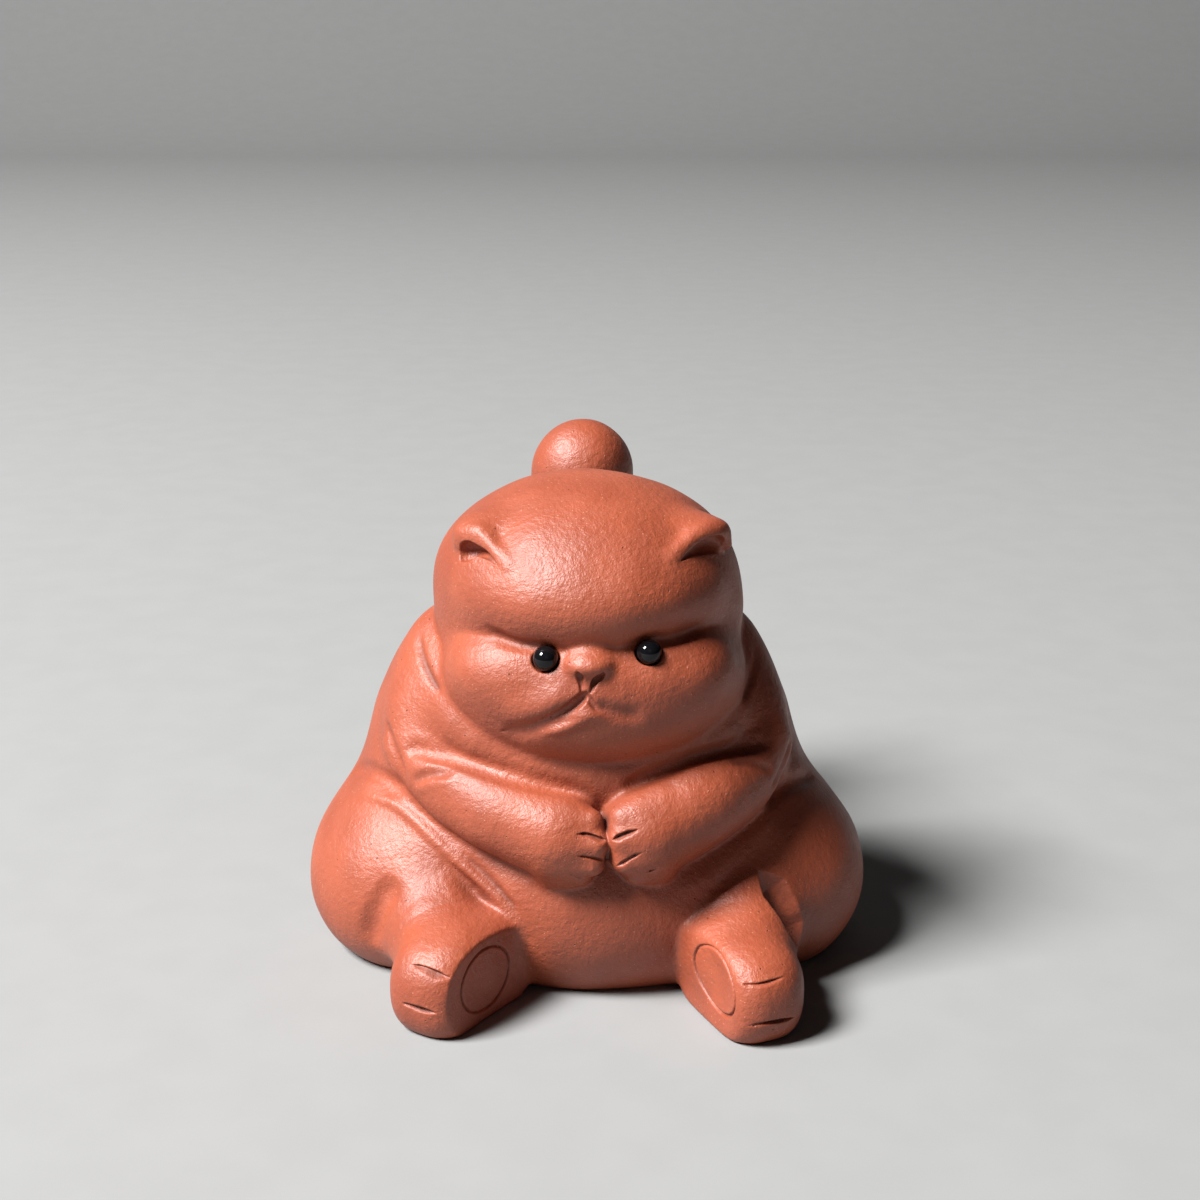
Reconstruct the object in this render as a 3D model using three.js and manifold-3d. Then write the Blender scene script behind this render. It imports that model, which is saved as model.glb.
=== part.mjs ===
// Cat tea pet: a small fat cat of unglazed red clay that sits with its paws together.
// Millimetres, +Z up, the face looks along -Y, the origin is on the ground under the belly.
// The figure is one moulded piece. Only the two bead eyes are pieces of their own.
import * as THREE from 'three';
import { mergeVertices } from 'three/addons/utils/BufferGeometryUtils.js';
import Module from 'manifold-3d';

const wasm = await Module();
wasm.setup();

// Driving dimensions
// An egg is a rounded lump: its centre, its three half sizes and how square it is (2 = plain ellipsoid).
// A roll is a round limb through points, each with its own radius.
// LEFT and RIGHT are the sides of the picture: left is -X.

const TORSO = [
  { centre: [-0.9, 4, 23.5], half: [26.6, 19.5, 21.5], power: 2.1 },
  { centre: [1, -3.5, 10], half: [20, 18.2, 15], power: 2.2 },
  { centre: [0, 9, 12], half: [22, 16.5, 15], power: 2 },
];
const THIGHS = [
  { centre: [-19.7, -0.5, 8.8], half: [15.3, 16.5, 12.8], power: 2.1 },
  { centre: [19.2, -0.5, 8.8], half: [15.3, 16.5, 12.8], power: 2.1 },
];
const TORSO_BLEND = 5.5;
const THIGH_BLEND = 8;

const LEGS = [
  { points: [[-21, -4, 9], [-18.6, -13, 7.8], [-16.5, -20, 5.8]], radii: [8, 7, 6] },
  { points: [[20, -4, 9], [18.6, -13, 8], [18.3, -20, 6.2]], radii: [8, 7.3, 6.2] },
];
const LEG_BLEND = 2.2;

// A foot lies on its outer edge: toe is the way it points in plan, sole is the flat inner face
const FEET = [
  {
    centre: [-14.6, -21.8, 4.6],
    half: [9.6, 6.2, 6.8],
    power: 2.5,
    toe: [-0.57, -0.82],
    sole: 4,
    edge: 0.6,
  },
  {
    centre: [17.4, -22.9, 4.6],
    half: [9.6, 6.2, 6.6],
    power: 2.5,
    toe: [0.413, -0.911],
    sole: 4.3,
    edge: 1.4,
  },
];
const FOOT_BLEND = 1.5;

const UPPER_BACK = { centre: [-1.1, 3, 32.5], half: [22.3, 16.2, 13], power: 2 };
const NECK_ROLL = {
  points: [[-15.5, 0, 37], [-13.6, -10.5, 31.5], [0.5, -15.2, 28], [13.8, -10.5, 31.2], [14.5, 0, 36]],
  radii: [5, 4.4, 3.8, 4.4, 5],
};
const SHOULDERS = [
  { points: [[-15.5, 0.5, 36.5], [-18.3, -3.5, 31.5], [-19.3, -6.5, 27.8]], radii: [6, 6, 5] },
  { points: [[14.6, 0.5, 36.5], [17.8, -3.5, 31], [19.4, -6.5, 27.8]], radii: [6.2, 6, 5] },
];
const CHEST = { centre: [1.5, -10.5, 25.5], half: [15, 8.3, 6.5], power: 2 };
const CHEST_BLEND = 2;
const SHOULDER_BLEND = 3;
const CAPE_BLEND = 2.5;

const FOREARMS = [
  {
    points: [[-19.2, -6.5, 26.9], [-16.4, -11.3, 24], [-10.5, -16.3, 22.3], [-3.6, -19.4, 20.4]],
    radii: [4.8, 5.2, 5.7, 5.3],
  },
  {
    points: [[19.9, -6.5, 27.4], [17.2, -11.5, 24.6], [12.3, -16.1, 22.7], [6.6, -19.4, 20.6]],
    radii: [4.5, 5.1, 5.5, 5.2],
  },
];
const FINGER_ROOT_RADIUS = 2.3;
const FINGER_TIP_RADIUS = 1.5;
const FINGER_BLEND = 1.3;
// Each finger: x of its tip, y and z of its tip; its root is further back in the paw
const FINGERS = [
  {
    tips: [[0.4, -21.6, 23.5], [1, -22.8, 21.3], [0.5, -22.5, 18.8], [-0.9, -21, 16.9]],
    rootX: -4,
    rise: -0.3,
  },
  {
    tips: [[4, -21.6, 24], [3.9, -22.8, 21.8], [4.3, -22.6, 19.2], [5.7, -21.2, 17.1]],
    rootX: 8,
    rise: 0.4,
  },
];
const FINGER_SLOPE = 1.6;
const PAW_BLEND = 0.3;
const ARM_BLEND = 1;

const CRANIUM = { centre: [-0.3, -3.2, 47.6], half: [17.9, 17.2, 12.2], power: 2 };
const BROW = { centre: [0.2, -9.3, 48], half: [14.5, 11.2, 5.6], power: 2 };
const JAW = { centre: [0.7, -7, 37.2], half: [17.2, 14.5, 11], power: 2 };
const HEAD_CORE = { centre: [0, -1.7, 43.8], half: [18.7, 16.3, 15], power: 2 };
const CHEEKS = [
  { centre: [-8.3, -13.2, 39.4], half: [7.2, 6.4, 5.2], power: 2 },
  { centre: [9.3, -13.2, 39.4], half: [7.2, 6.4, 5.2], power: 2 },
];
const CHEEK_BLEND = 2.5;
const BROW_BLEND = 2.5;
const BROW_CREASE = 0.6;
const HEAD_CORE_BLEND = 1.5;
const HEAD_BLEND = 0.8;

const NOSE = { centre: [0.1, -19.9, 42.1], half: [2.2, 1.9, 1.5], power: 2 };
const NOSE_BLEND = 0.9;
const LOWER_LIP = { centre: [0.3, -18.9, 36.8], half: [3, 2.6, 1.2], power: 2 };
const LIP_BLEND = 1;

const EARS = [
  {
    hood: { centre: [-11.9, -8.6, 54.6], half: [3.4, 3.2, 1.8], power: 2 },
    rim: {
      points: [
        [-8.6, -16.4, 52.2], [-11, -13.4, 54.3], [-13, -10.9, 54.7],
        [-14, -10.9, 53.6], [-14.4, -11.4, 52],
      ],
      radii: [0.2, 0.6, 0.9, 0.6, 0.2],
    },
    hollow: {
      points: [
        [-9.6, -16.5, 51.6], [-11.4, -14.6, 52.8], [-12.9, -13, 53],
        [-13.8, -12.9, 52.2], [-14.2, -13, 51],
      ],
      outward: [-0.5, -0.8, 0.1],
      width: 1.1,
      depth: 1.1,
    },
  },
  {
    hood: { centre: [12.2, -8, 54.6], half: [3.4, 3.4, 1.9], power: 2 },
    rim: {
      points: [
        [9.4, -14.8, 53.2], [12.3, -11.8, 54.4], [14.9, -8.9, 54.5],
        [15.9, -8.4, 53], [16.1, -8, 51.2],
      ],
      radii: [0.2, 0.7, 0.9, 0.7, 0.3],
    },
    hollow: {
      points: [
        [10.2, -15.5, 52.3], [12.2, -13.2, 52.9], [14.3, -11.1, 53],
        [15.4, -10.4, 52], [15.9, -10.4, 50.8],
      ],
      outward: [0.5, -0.8, 0.1],
      width: 1.4,
      depth: 1.5,
    },
  },
];
const HOOD_BLEND = 2;
const RIM_BLEND = 1.4;

const TAIL = {
  points: [[0, 20, 8], [-0.5, 29, 20], [-1, 31, 38], [-1, 30, 52.5]],
  radii: [7.5, 7.3, 7, 6.8],
};
const TAIL_BLEND = 4;

// Soft valleys pressed into the clay: half width, depth and the share of the length that fades at each end
const BODY_VALLEYS = [
  {
    points: [[-17.5, -14.5, 17], [-13.5, -17.5, 12], [-10.5, -18.5, 8.5], [-8.5, -18.8, 4]],
    width: 1.6,
    depth: 1.3,
  },
  {
    points: [[18.5, -13.5, 17], [15, -17.5, 12.5], [12.5, -18.5, 8.5], [11, -18.6, 4]],
    width: 1.6,
    depth: 1.1,
  },
  {
    points: [[-29.5, -3.5, 20], [-27, -8, 20.8], [-24.5, -10.5, 19], [-22.5, -12.5, 16]],
    width: 1.3,
    depth: 0.9,
  },
  {
    points: [[28.5, -4, 21], [26.5, -8, 20], [24.8, -10.5, 17.5]],
    width: 1.3,
    depth: 0.8,
  },
];
const LEG_VALLEYS = [
  {
    points: [[-22.3, -16, 14], [-24.2, -16.6, 11.6], [-25.6, -16.3, 8.2], [-26, -15, 4]],
    width: 1.3,
    depth: 1.3,
  },
  {
    points: [[19.8, -16.2, 15.4], [22, -18.2, 12.5], [24, -18.2, 9.5], [25.5, -16.5, 4]],
    width: 1.5,
    depth: 1.8,
  },
];
const JAW_VALLEYS = [
  {
    points: [[-20.5, -2, 40.5], [-19.6, -6.3, 38.4], [-17.5, -9.4, 36.5], [-14, -13.5, 34]],
    width: 0.9,
    depth: 0.6,
  },
  {
    points: [[20.5, -2, 39.5], [19.6, -6, 37.5], [17.6, -9.6, 35.5], [14.2, -13.5, 33]],
    width: 0.9,
    depth: 0.6,
  },
];
const MOUTH_VALLEYS = [
  {
    points: [[0, -21.5, 38.4], [-3.1, -21.3, 36.6], [-7, -19.7, 34.9], [-9.5, -17.9, 34.2]],
    width: 1.1,
    depth: 1,
  },
  {
    points: [[0, -21.5, 38.4], [3.7, -21.3, 36.6], [6.2, -20.6, 35.9], [8.6, -19.2, 35.2]],
    width: 1.1,
    depth: 0.8,
  },
];
const VALLEY_FADE = 0.3;

// Knife cuts: fingers, toes, nostrils, mouth, ear hollows and the groove round each sole
const FRONT = [0, -1, 0];
const CUT_WIDTH = 0.45;
const CUT_DEPTH = 0.55;
const CUT_PROUD = 0.8;
const FINGER_CUTS = [
  [[-1.2, -23.7, 22.9], [0.3, -23.7, 22.7], [2.9, -24, 21.7]],
  [[-1.5, -24.4, 20.5], [0.3, -24.1, 20.1], [2.8, -23.4, 19.3]],
  [[-2.5, -24.3, 18.5], [-1.5, -23.7, 17.6], [-0.3, -22.9, 16.9]],
  [[2.8, -23.8, 22.2], [4, -24, 22.9], [5.6, -23.9, 23.5]],
  [[3.2, -23.8, 18.9], [4.6, -24.4, 20], [6.2, -24.6, 21]],
  [[5.1, -23, 16.8], [6.6, -24, 18], [8.2, -24.1, 19]],
];
const TOE_CUTS = [
  [
    [[-20, -28.2, 8.8], [-18.3, -29.2, 8.8], [-15.6, -29.9, 8.1]],
    [[-21.2, -28.8, 4.4], [-19.9, -29.8, 4.4], [-17.1, -30.9, 4.1]],
  ],
  [
    [[17.3, -31.2, 8], [18.8, -31.5, 8.1], [22.2, -30, 8.4]],
    [[18, -32.1, 3.3], [19.9, -32.1, 3.6], [23.5, -30.2, 3.3]],
  ],
];
const TOE_CUT_LIFT = 0.4;
const FACE_CUTS = [
  { points: [[-0.95, -21.6, 41.4], [-0.8, -21.6, 40.5], [-0.5, -21.3, 39.2]], width: 0.6, depth: 0.6 },
  { points: [[1.8, -21.3, 41.4], [1.3, -21.6, 40.5], [0.4, -21.3, 39.2]], width: 0.6, depth: 0.6 },
  {
    points: [
      [-0.5, -21, 38.3], [-2, -20.6, 37.1], [-4.2, -20.1, 35.9],
      [-6.6, -19, 35.1], [-9, -17.6, 34.6],
    ],
    width: 0.9,
    depth: 0.9,
  },
  {
    points: [[0.7, -21, 38.2], [2, -20.8, 37.3], [4, -20.5, 36.4], [6.6, -19.5, 35.9]],
    width: 0.8,
    depth: 0.7,
  },
];
const SOLE_OVALS = [
  { ahead: 0.8, up: 5.2, half: [4.4, 3.8], tilt: 0 },
  { ahead: 2.5, up: 6.2, half: [4.7, 3.4], tilt: -0.3 },
];
const SOLE_GROOVE_WIDTH = 0.4;
const SOLE_GROOVE_DEPTH = 0.35;
const SOLE_GROOVE_STEPS = 20;

const BEAD_RADIUS = 1.5;
const BEAD_GAP = 0.3;
const EYE_CENTRES = { left_eye: [-4.7, -19.6, 42.5], right_eye: [6.9, -19.1, 43.1] };

// The polygon grid: cells are fine on the face, the paws and the feet, and coarse behind
const GRID = {
  x: { from: -40, to: 40, centre: 0, fine: 1.55, coarse: 3.2, reach: 34 },
  y: { from: -36, to: 42, centre: -22, fine: 1.6, coarse: 5, reach: 60 },
  z: { from: -8, to: 63, centre: 41, fine: 1.4, coarse: 2.7, reach: 34 },
};
const FLOOR_DEPTH = 20;
const FLOOR_SPAN = 200;
const BEAD_DETAIL = 2;
const SOCKET_DETAIL = 2;
const SMOOTH_STEPS = 4;
const SURFACE_STEPS = 3;
const SLOPE_STEP = 0.4;
const RELAX_SHARE = 0.5;

const CLAY_COLOUR = 0xb0664a;
const BEAD_COLOUR = 0x060607;

const clay = new THREE.MeshStandardMaterial({ color: CLAY_COLOUR, roughness: 0.5, metalness: 0 });
const bead = new THREE.MeshStandardMaterial({ color: BEAD_COLOUR, roughness: 0.05, metalness: 0 });

// Distances: every shape below is a function of a point that is negative inside the shape

function blend(a, b, reach) {
  // The nearer of two distances, rounded over where they are less than reach apart
  const overlap = Math.max(reach - Math.abs(a - b), 0) / reach;
  return Math.min(a, b) - overlap * overlap * reach * 0.25;
}

function trim(a, b, reach) {
  // The part that two shapes share
  return -blend(-a, -b, reach);
}

function eggDistance(x, y, z, half, power) {
  const ax = Math.abs(x / half[0]) + 1e-6;
  const ay = Math.abs(y / half[1]) + 1e-6;
  const az = Math.abs(z / half[2]) + 1e-6;
  const size = (ax ** power + ay ** power + az ** power) ** (1 / power);
  const slopeX = (ax / size) ** (power - 1) / half[0];
  const slopeY = (ay / size) ** (power - 1) / half[1];
  const slopeZ = (az / size) ** (power - 1) / half[2];
  return (size - 1) / Math.hypot(slopeX, slopeY, slopeZ);
}

function egg({ centre, half, power }) {
  return (p) => eggDistance(p[0] - centre[0], p[1] - centre[1], p[2] - centre[2], half, power);
}

function smoothPath(rows, steps) {
  // A curve through the rows (points, or points with a radius), with the given steps between two rows
  const last = rows.length - 1;
  const mirrored = (row, next) => row.map((v, i) => 2 * v - next[i]);
  const all = [mirrored(rows[0], rows[1]), ...rows, mirrored(rows[last], rows[last - 1])];
  const path = [];
  for (let i = 0; i < last; i += 1) {
    const [a, b, c, d] = all.slice(i, i + 4);
    for (let k = 0; k < steps; k += 1) {
      const t = k / steps;
      path.push(b.map((_, j) => 0.5 * (2 * b[j] + (c[j] - a[j]) * t
        + (2 * a[j] - 5 * b[j] + 4 * c[j] - d[j]) * t * t
        + (3 * b[j] - a[j] - 3 * c[j] + d[j]) * t * t * t)));
    }
  }
  path.push([...rows[last]]);
  return path;
}

function alongSegment(p, a, b) {
  // Distance from p to the segment a b, and the share of the segment where it is nearest
  const abx = b[0] - a[0];
  const aby = b[1] - a[1];
  const abz = b[2] - a[2];
  const apx = p[0] - a[0];
  const apy = p[1] - a[1];
  const apz = p[2] - a[2];
  const along = (apx * abx + apy * aby + apz * abz) / (abx * abx + aby * aby + abz * abz);
  const share = Math.min(1, Math.max(0, along));
  return [Math.hypot(apx - share * abx, apy - share * aby, apz - share * abz), share];
}

function roll({ points, radii }, steps = SMOOTH_STEPS) {
  const path = smoothPath(points.map((point, i) => [...point, radii[i]]), steps);
  return (p) => {
    let nearest = Infinity;
    for (let i = 0; i + 1 < path.length; i += 1) {
      const [away, share] = alongSegment(p, path[i], path[i + 1]);
      nearest = Math.min(nearest, away - path[i][3] - share * (path[i + 1][3] - path[i][3]));
    }
    return nearest;
  };
}

function valley({ points, width, depth }) {
  // How far the surface is pressed in beside a path: a bell across it, fading at both ends
  const path = smoothPath(points, SMOOTH_STEPS);
  return (p) => {
    let nearest = Infinity;
    let where = 0;
    for (let i = 0; i + 1 < path.length; i += 1) {
      const [away, share] = alongSegment(p, path[i], path[i + 1]);
      if (away < nearest) {
        nearest = away;
        where = (i + share) / (path.length - 1);
      }
    }
    const end = Math.min(1, Math.min(where, 1 - where) / VALLEY_FADE);
    return depth * end * end * (3 - 2 * end) * Math.exp(-((nearest / width) ** 2));
  };
}

function footFrame({ centre, toe }) {
  // Directions in plan: along to the toes, and across to the sole, which faces the cat's middle
  const length = Math.hypot(...toe);
  const along = toe.map((v) => v / length);
  const turn = Math.sign(centre[0]);
  return { along, across: [turn * along[1], -turn * along[0]] };
}

function foot(size) {
  const { along, across } = footFrame(size);
  return (p) => {
    const x = p[0] - size.centre[0];
    const y = p[1] - size.centre[1];
    const l = x * along[0] + y * along[1];
    const w = x * across[0] + y * across[1];
    const loaf = eggDistance(l, w, p[2] - size.centre[2], size.half, size.power);
    return trim(loaf, w - size.sole, size.edge);
  };
}

function forearm(size, fingers) {
  const limb = roll(size);
  const digits = fingers.tips.map(([x, y, z]) => roll({
    points: [[fingers.rootX, y + FINGER_SLOPE, z + fingers.rise], [x, y, z]],
    radii: [FINGER_ROOT_RADIUS, FINGER_TIP_RADIUS],
  }, 1));
  return (p) => digits.reduce((d, digit) => blend(d, digit(p), FINGER_BLEND), limb(p));
}

function sum(list) {
  return (p) => list.reduce((total, shape) => total + shape(p), 0);
}

function torsoShape() {
  const lumps = TORSO.map(egg);
  const thighs = THIGHS.map(egg);
  const valleys = sum(BODY_VALLEYS.map(valley));
  return (p) => {
    let d = lumps[0](p);
    for (const lump of lumps.slice(1)) d = blend(d, lump(p), TORSO_BLEND);
    for (const thigh of thighs) d = blend(d, thigh(p), THIGH_BLEND);
    return d + valleys(p);
  };
}

function shoulderShape() {
  const back = egg(UPPER_BACK);
  const chest = egg(CHEST);
  const neck = roll(NECK_ROLL, SMOOTH_STEPS + 1);
  const [left, right] = SHOULDERS.map((size) => roll(size));
  return (p) => {
    const cape = blend(blend(back(p), neck(p), SHOULDER_BLEND), chest(p), CHEST_BLEND);
    return blend(cape, Math.min(left(p), right(p)), SHOULDER_BLEND);
  };
}

function earShape(size) {
  const hood = egg(size.hood);
  const rim = roll(size.rim);
  return (p, d) => blend(blend(d, hood(p), HOOD_BLEND), rim(p), RIM_BLEND);
}

function headShape() {
  const cranium = egg(CRANIUM);
  const brow = egg(BROW);
  const jaw = egg(JAW);
  const core = egg(HEAD_CORE);
  const cheeks = CHEEKS.map(egg);
  const nose = egg(NOSE);
  const lip = egg(LOWER_LIP);
  const mouth = sum(MOUTH_VALLEYS.map(valley));
  const ears = EARS.map(earShape);
  return (p) => {
    const upper = blend(cranium(p), brow(p), BROW_BLEND);
    const lower = cheeks.reduce((d, cheek) => blend(d, cheek(p), CHEEK_BLEND), jaw(p));
    let d = blend(blend(upper, lower, BROW_CREASE), core(p), HEAD_CORE_BLEND);
    d = blend(d, nose(p), NOSE_BLEND);
    d = blend(d, lip(p), LIP_BLEND) + mouth(p);
    return ears.reduce((value, ear) => ear(p, value), d);
  };
}

function figureShape() {
  const torso = torsoShape();
  const legs = LEGS.map((size) => roll(size));
  const legValleys = sum(LEG_VALLEYS.map(valley));
  const feet = FEET.map(foot);
  const shoulders = shoulderShape();
  const jawValleys = sum(JAW_VALLEYS.map(valley));
  const [leftArm, rightArm] = FOREARMS.map((size, i) => forearm(size, FINGERS[i]));
  const head = headShape();
  const tail = roll(TAIL);
  return (p) => {
    let d = blend(torso(p), Math.min(...legs.map((leg) => leg(p))), LEG_BLEND) + legValleys(p);
    for (const shape of feet) d = blend(d, shape(p), FOOT_BLEND);
    d = blend(d, shoulders(p), CAPE_BLEND) + jawValleys(p);
    d = blend(d, blend(leftArm(p), rightArm(p), PAW_BLEND), ARM_BLEND);
    d = blend(d, head(p), HEAD_BLEND);
    return blend(d, tail(p), TAIL_BLEND);
  };
}

// Polygons: one corner in each cell that the surface crosses, one quad round each crossed edge

function gridLine({ from, to, centre, fine, coarse, reach }) {
  const line = [from];
  while (line[line.length - 1] < to) {
    const at = line[line.length - 1];
    const share = Math.min(1, Math.abs(at - centre) / reach);
    line.push(at + fine + (coarse - fine) * share);
  }
  return line;
}

function slope(shape, p) {
  return [0, 1, 2].map((axis) => {
    const ahead = [...p];
    const behind = [...p];
    ahead[axis] += SLOPE_STEP;
    behind[axis] -= SLOPE_STEP;
    return (shape(ahead) - shape(behind)) / (2 * SLOPE_STEP);
  });
}

function ontoSurface(shape, p) {
  let q = p;
  for (let k = 0; k < SURFACE_STEPS; k += 1) {
    const g = slope(shape, q);
    const square = g[0] ** 2 + g[1] ** 2 + g[2] ** 2;
    const step = Math.max(-1, Math.min(1, shape(q))) / Math.max(square, 0.1);
    q = q.map((v, axis) => v - g[axis] * step);
  }
  return q;
}

function relaxed(positions, triangles) {
  // Each corner moved part of the way to the middle of its neighbours, which evens out the polygons
  const total = new Float64Array(positions.length);
  const count = new Float64Array(positions.length / 3);
  for (let t = 0; t < triangles.length; t += 3) {
    for (let k = 0; k < 3; k += 1) {
      const here = triangles[t + k];
      const next = triangles[t + ((k + 1) % 3)];
      count[here] += 1;
      for (let d = 0; d < 3; d += 1) total[3 * here + d] += positions[3 * next + d];
    }
  }
  return positions.map((v, i) => v + RELAX_SHARE * (total[i] / count[Math.floor(i / 3)] - v));
}

function polygonise(shape) {
  const lines = [gridLine(GRID.x), gridLine(GRID.y), gridLine(GRID.z)];
  const [nx, ny, nz] = lines.map((line) => line.length);
  const index = (i, j, k) => (i * ny + j) * nz + k;
  const values = new Float64Array(nx * ny * nz);
  for (let i = 0; i < nx; i += 1) {
    for (let j = 0; j < ny; j += 1) {
      for (let k = 0; k < nz; k += 1) {
        values[index(i, j, k)] = shape([lines[0][i], lines[1][j], lines[2][k]]);
      }
    }
  }
  const strides = [ny * nz, nz, 1];
  const cellTotal = new Map();
  const crossings = [];
  for (let i = 1; i < nx - 1; i += 1) {
    for (let j = 1; j < ny - 1; j += 1) {
      for (let k = 1; k < nz - 1; k += 1) {
        const here = index(i, j, k);
        for (let axis = 0; axis < 3; axis += 1) {
          const a = values[here];
          const b = values[here + strides[axis]];
          if ((a < 0) === (b < 0)) continue;
          const place = [i, j, k];
          const point = place.map((n, d) => lines[d][n]);
          point[axis] += (a / (a - b)) * (lines[axis][place[axis] + 1] - lines[axis][place[axis]]);
          const one = strides[(axis + 1) % 3];
          const two = strides[(axis + 2) % 3];
          const cells = [here - one - two, here - two, here, here - one];
          for (const cell of cells) {
            const total = cellTotal.get(cell) ?? [0, 0, 0, 0];
            point.forEach((v, d) => { total[d] += v; });
            total[3] += 1;
            cellTotal.set(cell, total);
          }
          crossings.push(a < 0 ? cells : cells.reverse());
        }
      }
    }
  }
  const corner = new Map();
  const rough = [];
  for (const [cell, [x, y, z, count]] of cellTotal) {
    corner.set(cell, rough.length / 3);
    rough.push(x / count, y / count, z / count);
  }
  const triangles = [];
  const point = (n) => new THREE.Vector3(...rough.slice(3 * n, 3 * n + 3));
  for (const cells of crossings) {
    const [a, b, c, d] = cells.map((cell) => corner.get(cell));
    const short = point(a).distanceTo(point(c)) < point(b).distanceTo(point(d));
    triangles.push(...(short ? [a, b, c, a, c, d] : [b, c, d, b, d, a]));
  }
  const even = relaxed(rough, triangles);
  const positions = [];
  for (let n = 0; n < even.length; n += 3) {
    positions.push(...ontoSurface(shape, even.slice(n, n + 3)));
  }
  return { positions, triangles };
}

// Solids

function solidFromArrays(positions, triangles) {
  return new wasm.Manifold(new wasm.Mesh({
    numProp: 3,
    vertProperties: new Float32Array(positions),
    triVerts: new Uint32Array(triangles),
  }));
}

function solidFromGeometry(geometry) {
  const bare = geometry.clone();
  bare.deleteAttribute('normal');
  bare.deleteAttribute('uv');
  const merged = mergeVertices(bare, 1e-4);
  return solidFromArrays(merged.attributes.position.array, merged.index.array);
}

function blade({ points, outward, width, depth }) {
  // A knife stroke along points: a wedge that is sharp inside the clay and runs out to a tip at both ends
  const spread = (width / 2) * (1 + CUT_PROUD / depth);
  const out = new THREE.Vector3(...outward).normalize();
  const path = points.map((point) => new THREE.Vector3(...point));
  const positions = [];
  const push = (v) => positions.push(v.x, v.y, v.z);
  push(path[0]);
  push(path[path.length - 1]);
  for (let i = 1; i + 1 < path.length; i += 1) {
    const ahead = path[i + 1].clone().sub(path[i - 1]).normalize();
    const side = new THREE.Vector3().crossVectors(ahead, out).normalize();
    push(path[i].clone().addScaledVector(out, -depth));
    push(path[i].clone().addScaledVector(out, CUT_PROUD).addScaledVector(side, spread));
    push(path[i].clone().addScaledVector(out, CUT_PROUD).addScaledVector(side, -spread));
  }
  const triangles = [];
  const rings = path.length - 2;
  for (let i = 0; i < rings; i += 1) {
    const ring = [2, 3, 4].map((n) => n + 3 * i);
    for (let k = 0; k < 3; k += 1) {
      const [a, b] = [ring[k], ring[(k + 1) % 3]];
      if (i === 0) triangles.push(0, b, a);
      if (i === rings - 1) triangles.push(1, a, b);
      else triangles.push(a, b, b + 3, a, b + 3, a + 3);
    }
  }
  return outwardSolid(positions, triangles);
}

function outwardSolid(positions, triangles) {
  // Manifold wants the faces to look outwards: turn them round when the volume comes out negative
  const solid = solidFromArrays(positions, triangles);
  if (solid.volume() > 0) return solid;
  const turned = [];
  for (let i = 0; i < triangles.length; i += 3) {
    turned.push(triangles[i], triangles[i + 2], triangles[i + 1]);
  }
  return solidFromArrays(positions, turned);
}

function soleGroove(size, oval) {
  // An oval ring with a wedge section, sunk into the flat sole
  const { along, across } = footFrame(size);
  const place = (l, w, h) => [
    size.centre[0] + l * along[0] + w * across[0],
    size.centre[1] + l * along[1] + w * across[1],
    h,
  ];
  const positions = [];
  const triangles = [];
  const outer = (SOLE_GROOVE_WIDTH / 2) * (1 + CUT_PROUD / SOLE_GROOVE_DEPTH);
  for (let i = 0; i < SOLE_GROOVE_STEPS; i += 1) {
    const angle = (2 * Math.PI * i) / SOLE_GROOVE_STEPS;
    const section = [[0, -SOLE_GROOVE_DEPTH], [outer, CUT_PROUD], [-outer, CUT_PROUD]];
    for (const [wider, out] of section) {
      const l = (oval.half[0] + wider) * Math.cos(angle);
      const h = (oval.half[1] + wider) * Math.sin(angle);
      const ahead = oval.ahead + l * Math.cos(oval.tilt) - h * Math.sin(oval.tilt);
      const up = oval.up + l * Math.sin(oval.tilt) + h * Math.cos(oval.tilt);
      positions.push(...place(ahead, size.sole + out, up));
    }
    const next = (i + 1) % SOLE_GROOVE_STEPS;
    for (let k = 0; k < 3; k += 1) {
      const [a, b] = [3 * i + k, 3 * i + ((k + 1) % 3)];
      const [c, d] = [3 * next + k, 3 * next + ((k + 1) % 3)];
      triangles.push(a, b, d, a, d, c);
    }
  }
  return outwardSolid(positions, triangles);
}

function geometryFromSolid(solid) {
  const mesh = solid.getMesh();
  const geometry = new THREE.BufferGeometry();
  geometry.setAttribute('position', new THREE.BufferAttribute(mesh.vertProperties, 3));
  geometry.setIndex(new THREE.BufferAttribute(mesh.triVerts, 1));
  geometry.computeVertexNormals();
  return geometry;
}

function knifeCuts() {
  // Every stroke and groove that is cut into the fired surface, and the two eye sockets
  const fine = { width: CUT_WIDTH, depth: CUT_DEPTH };
  const tools = FINGER_CUTS.map((points) => blade({ points, outward: FRONT, ...fine }));
  for (const cut of FACE_CUTS) tools.push(blade({ ...cut, outward: FRONT }));
  for (const { hollow } of EARS) tools.push(blade(hollow));
  FEET.forEach((size, i) => {
    for (const points of TOE_CUTS[i]) {
      tools.push(blade({ points, outward: [...size.toe, TOE_CUT_LIFT], ...fine }));
    }
    tools.push(soleGroove(size, SOLE_OVALS[i]));
  });
  for (const centre of Object.values(EYE_CENTRES)) {
    const socket = new THREE.IcosahedronGeometry(BEAD_RADIUS + BEAD_GAP, SOCKET_DETAIL);
    tools.push(solidFromGeometry(socket.translate(...centre)));
  }
  return wasm.Manifold.union(tools);
}

function catFigure() {
  const { positions, triangles } = polygonise(figureShape());
  const lump = solidFromArrays(positions, triangles);
  const ground = new THREE.BoxGeometry(FLOOR_SPAN, FLOOR_SPAN, FLOOR_DEPTH);
  ground.translate(0, 0, -FLOOR_DEPTH / 2);
  const solid = lump.subtract(solidFromGeometry(ground)).subtract(knifeCuts());
  const mesh = new THREE.Mesh(geometryFromSolid(solid), clay);
  mesh.name = 'cat_figure';
  return mesh;
}

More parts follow.
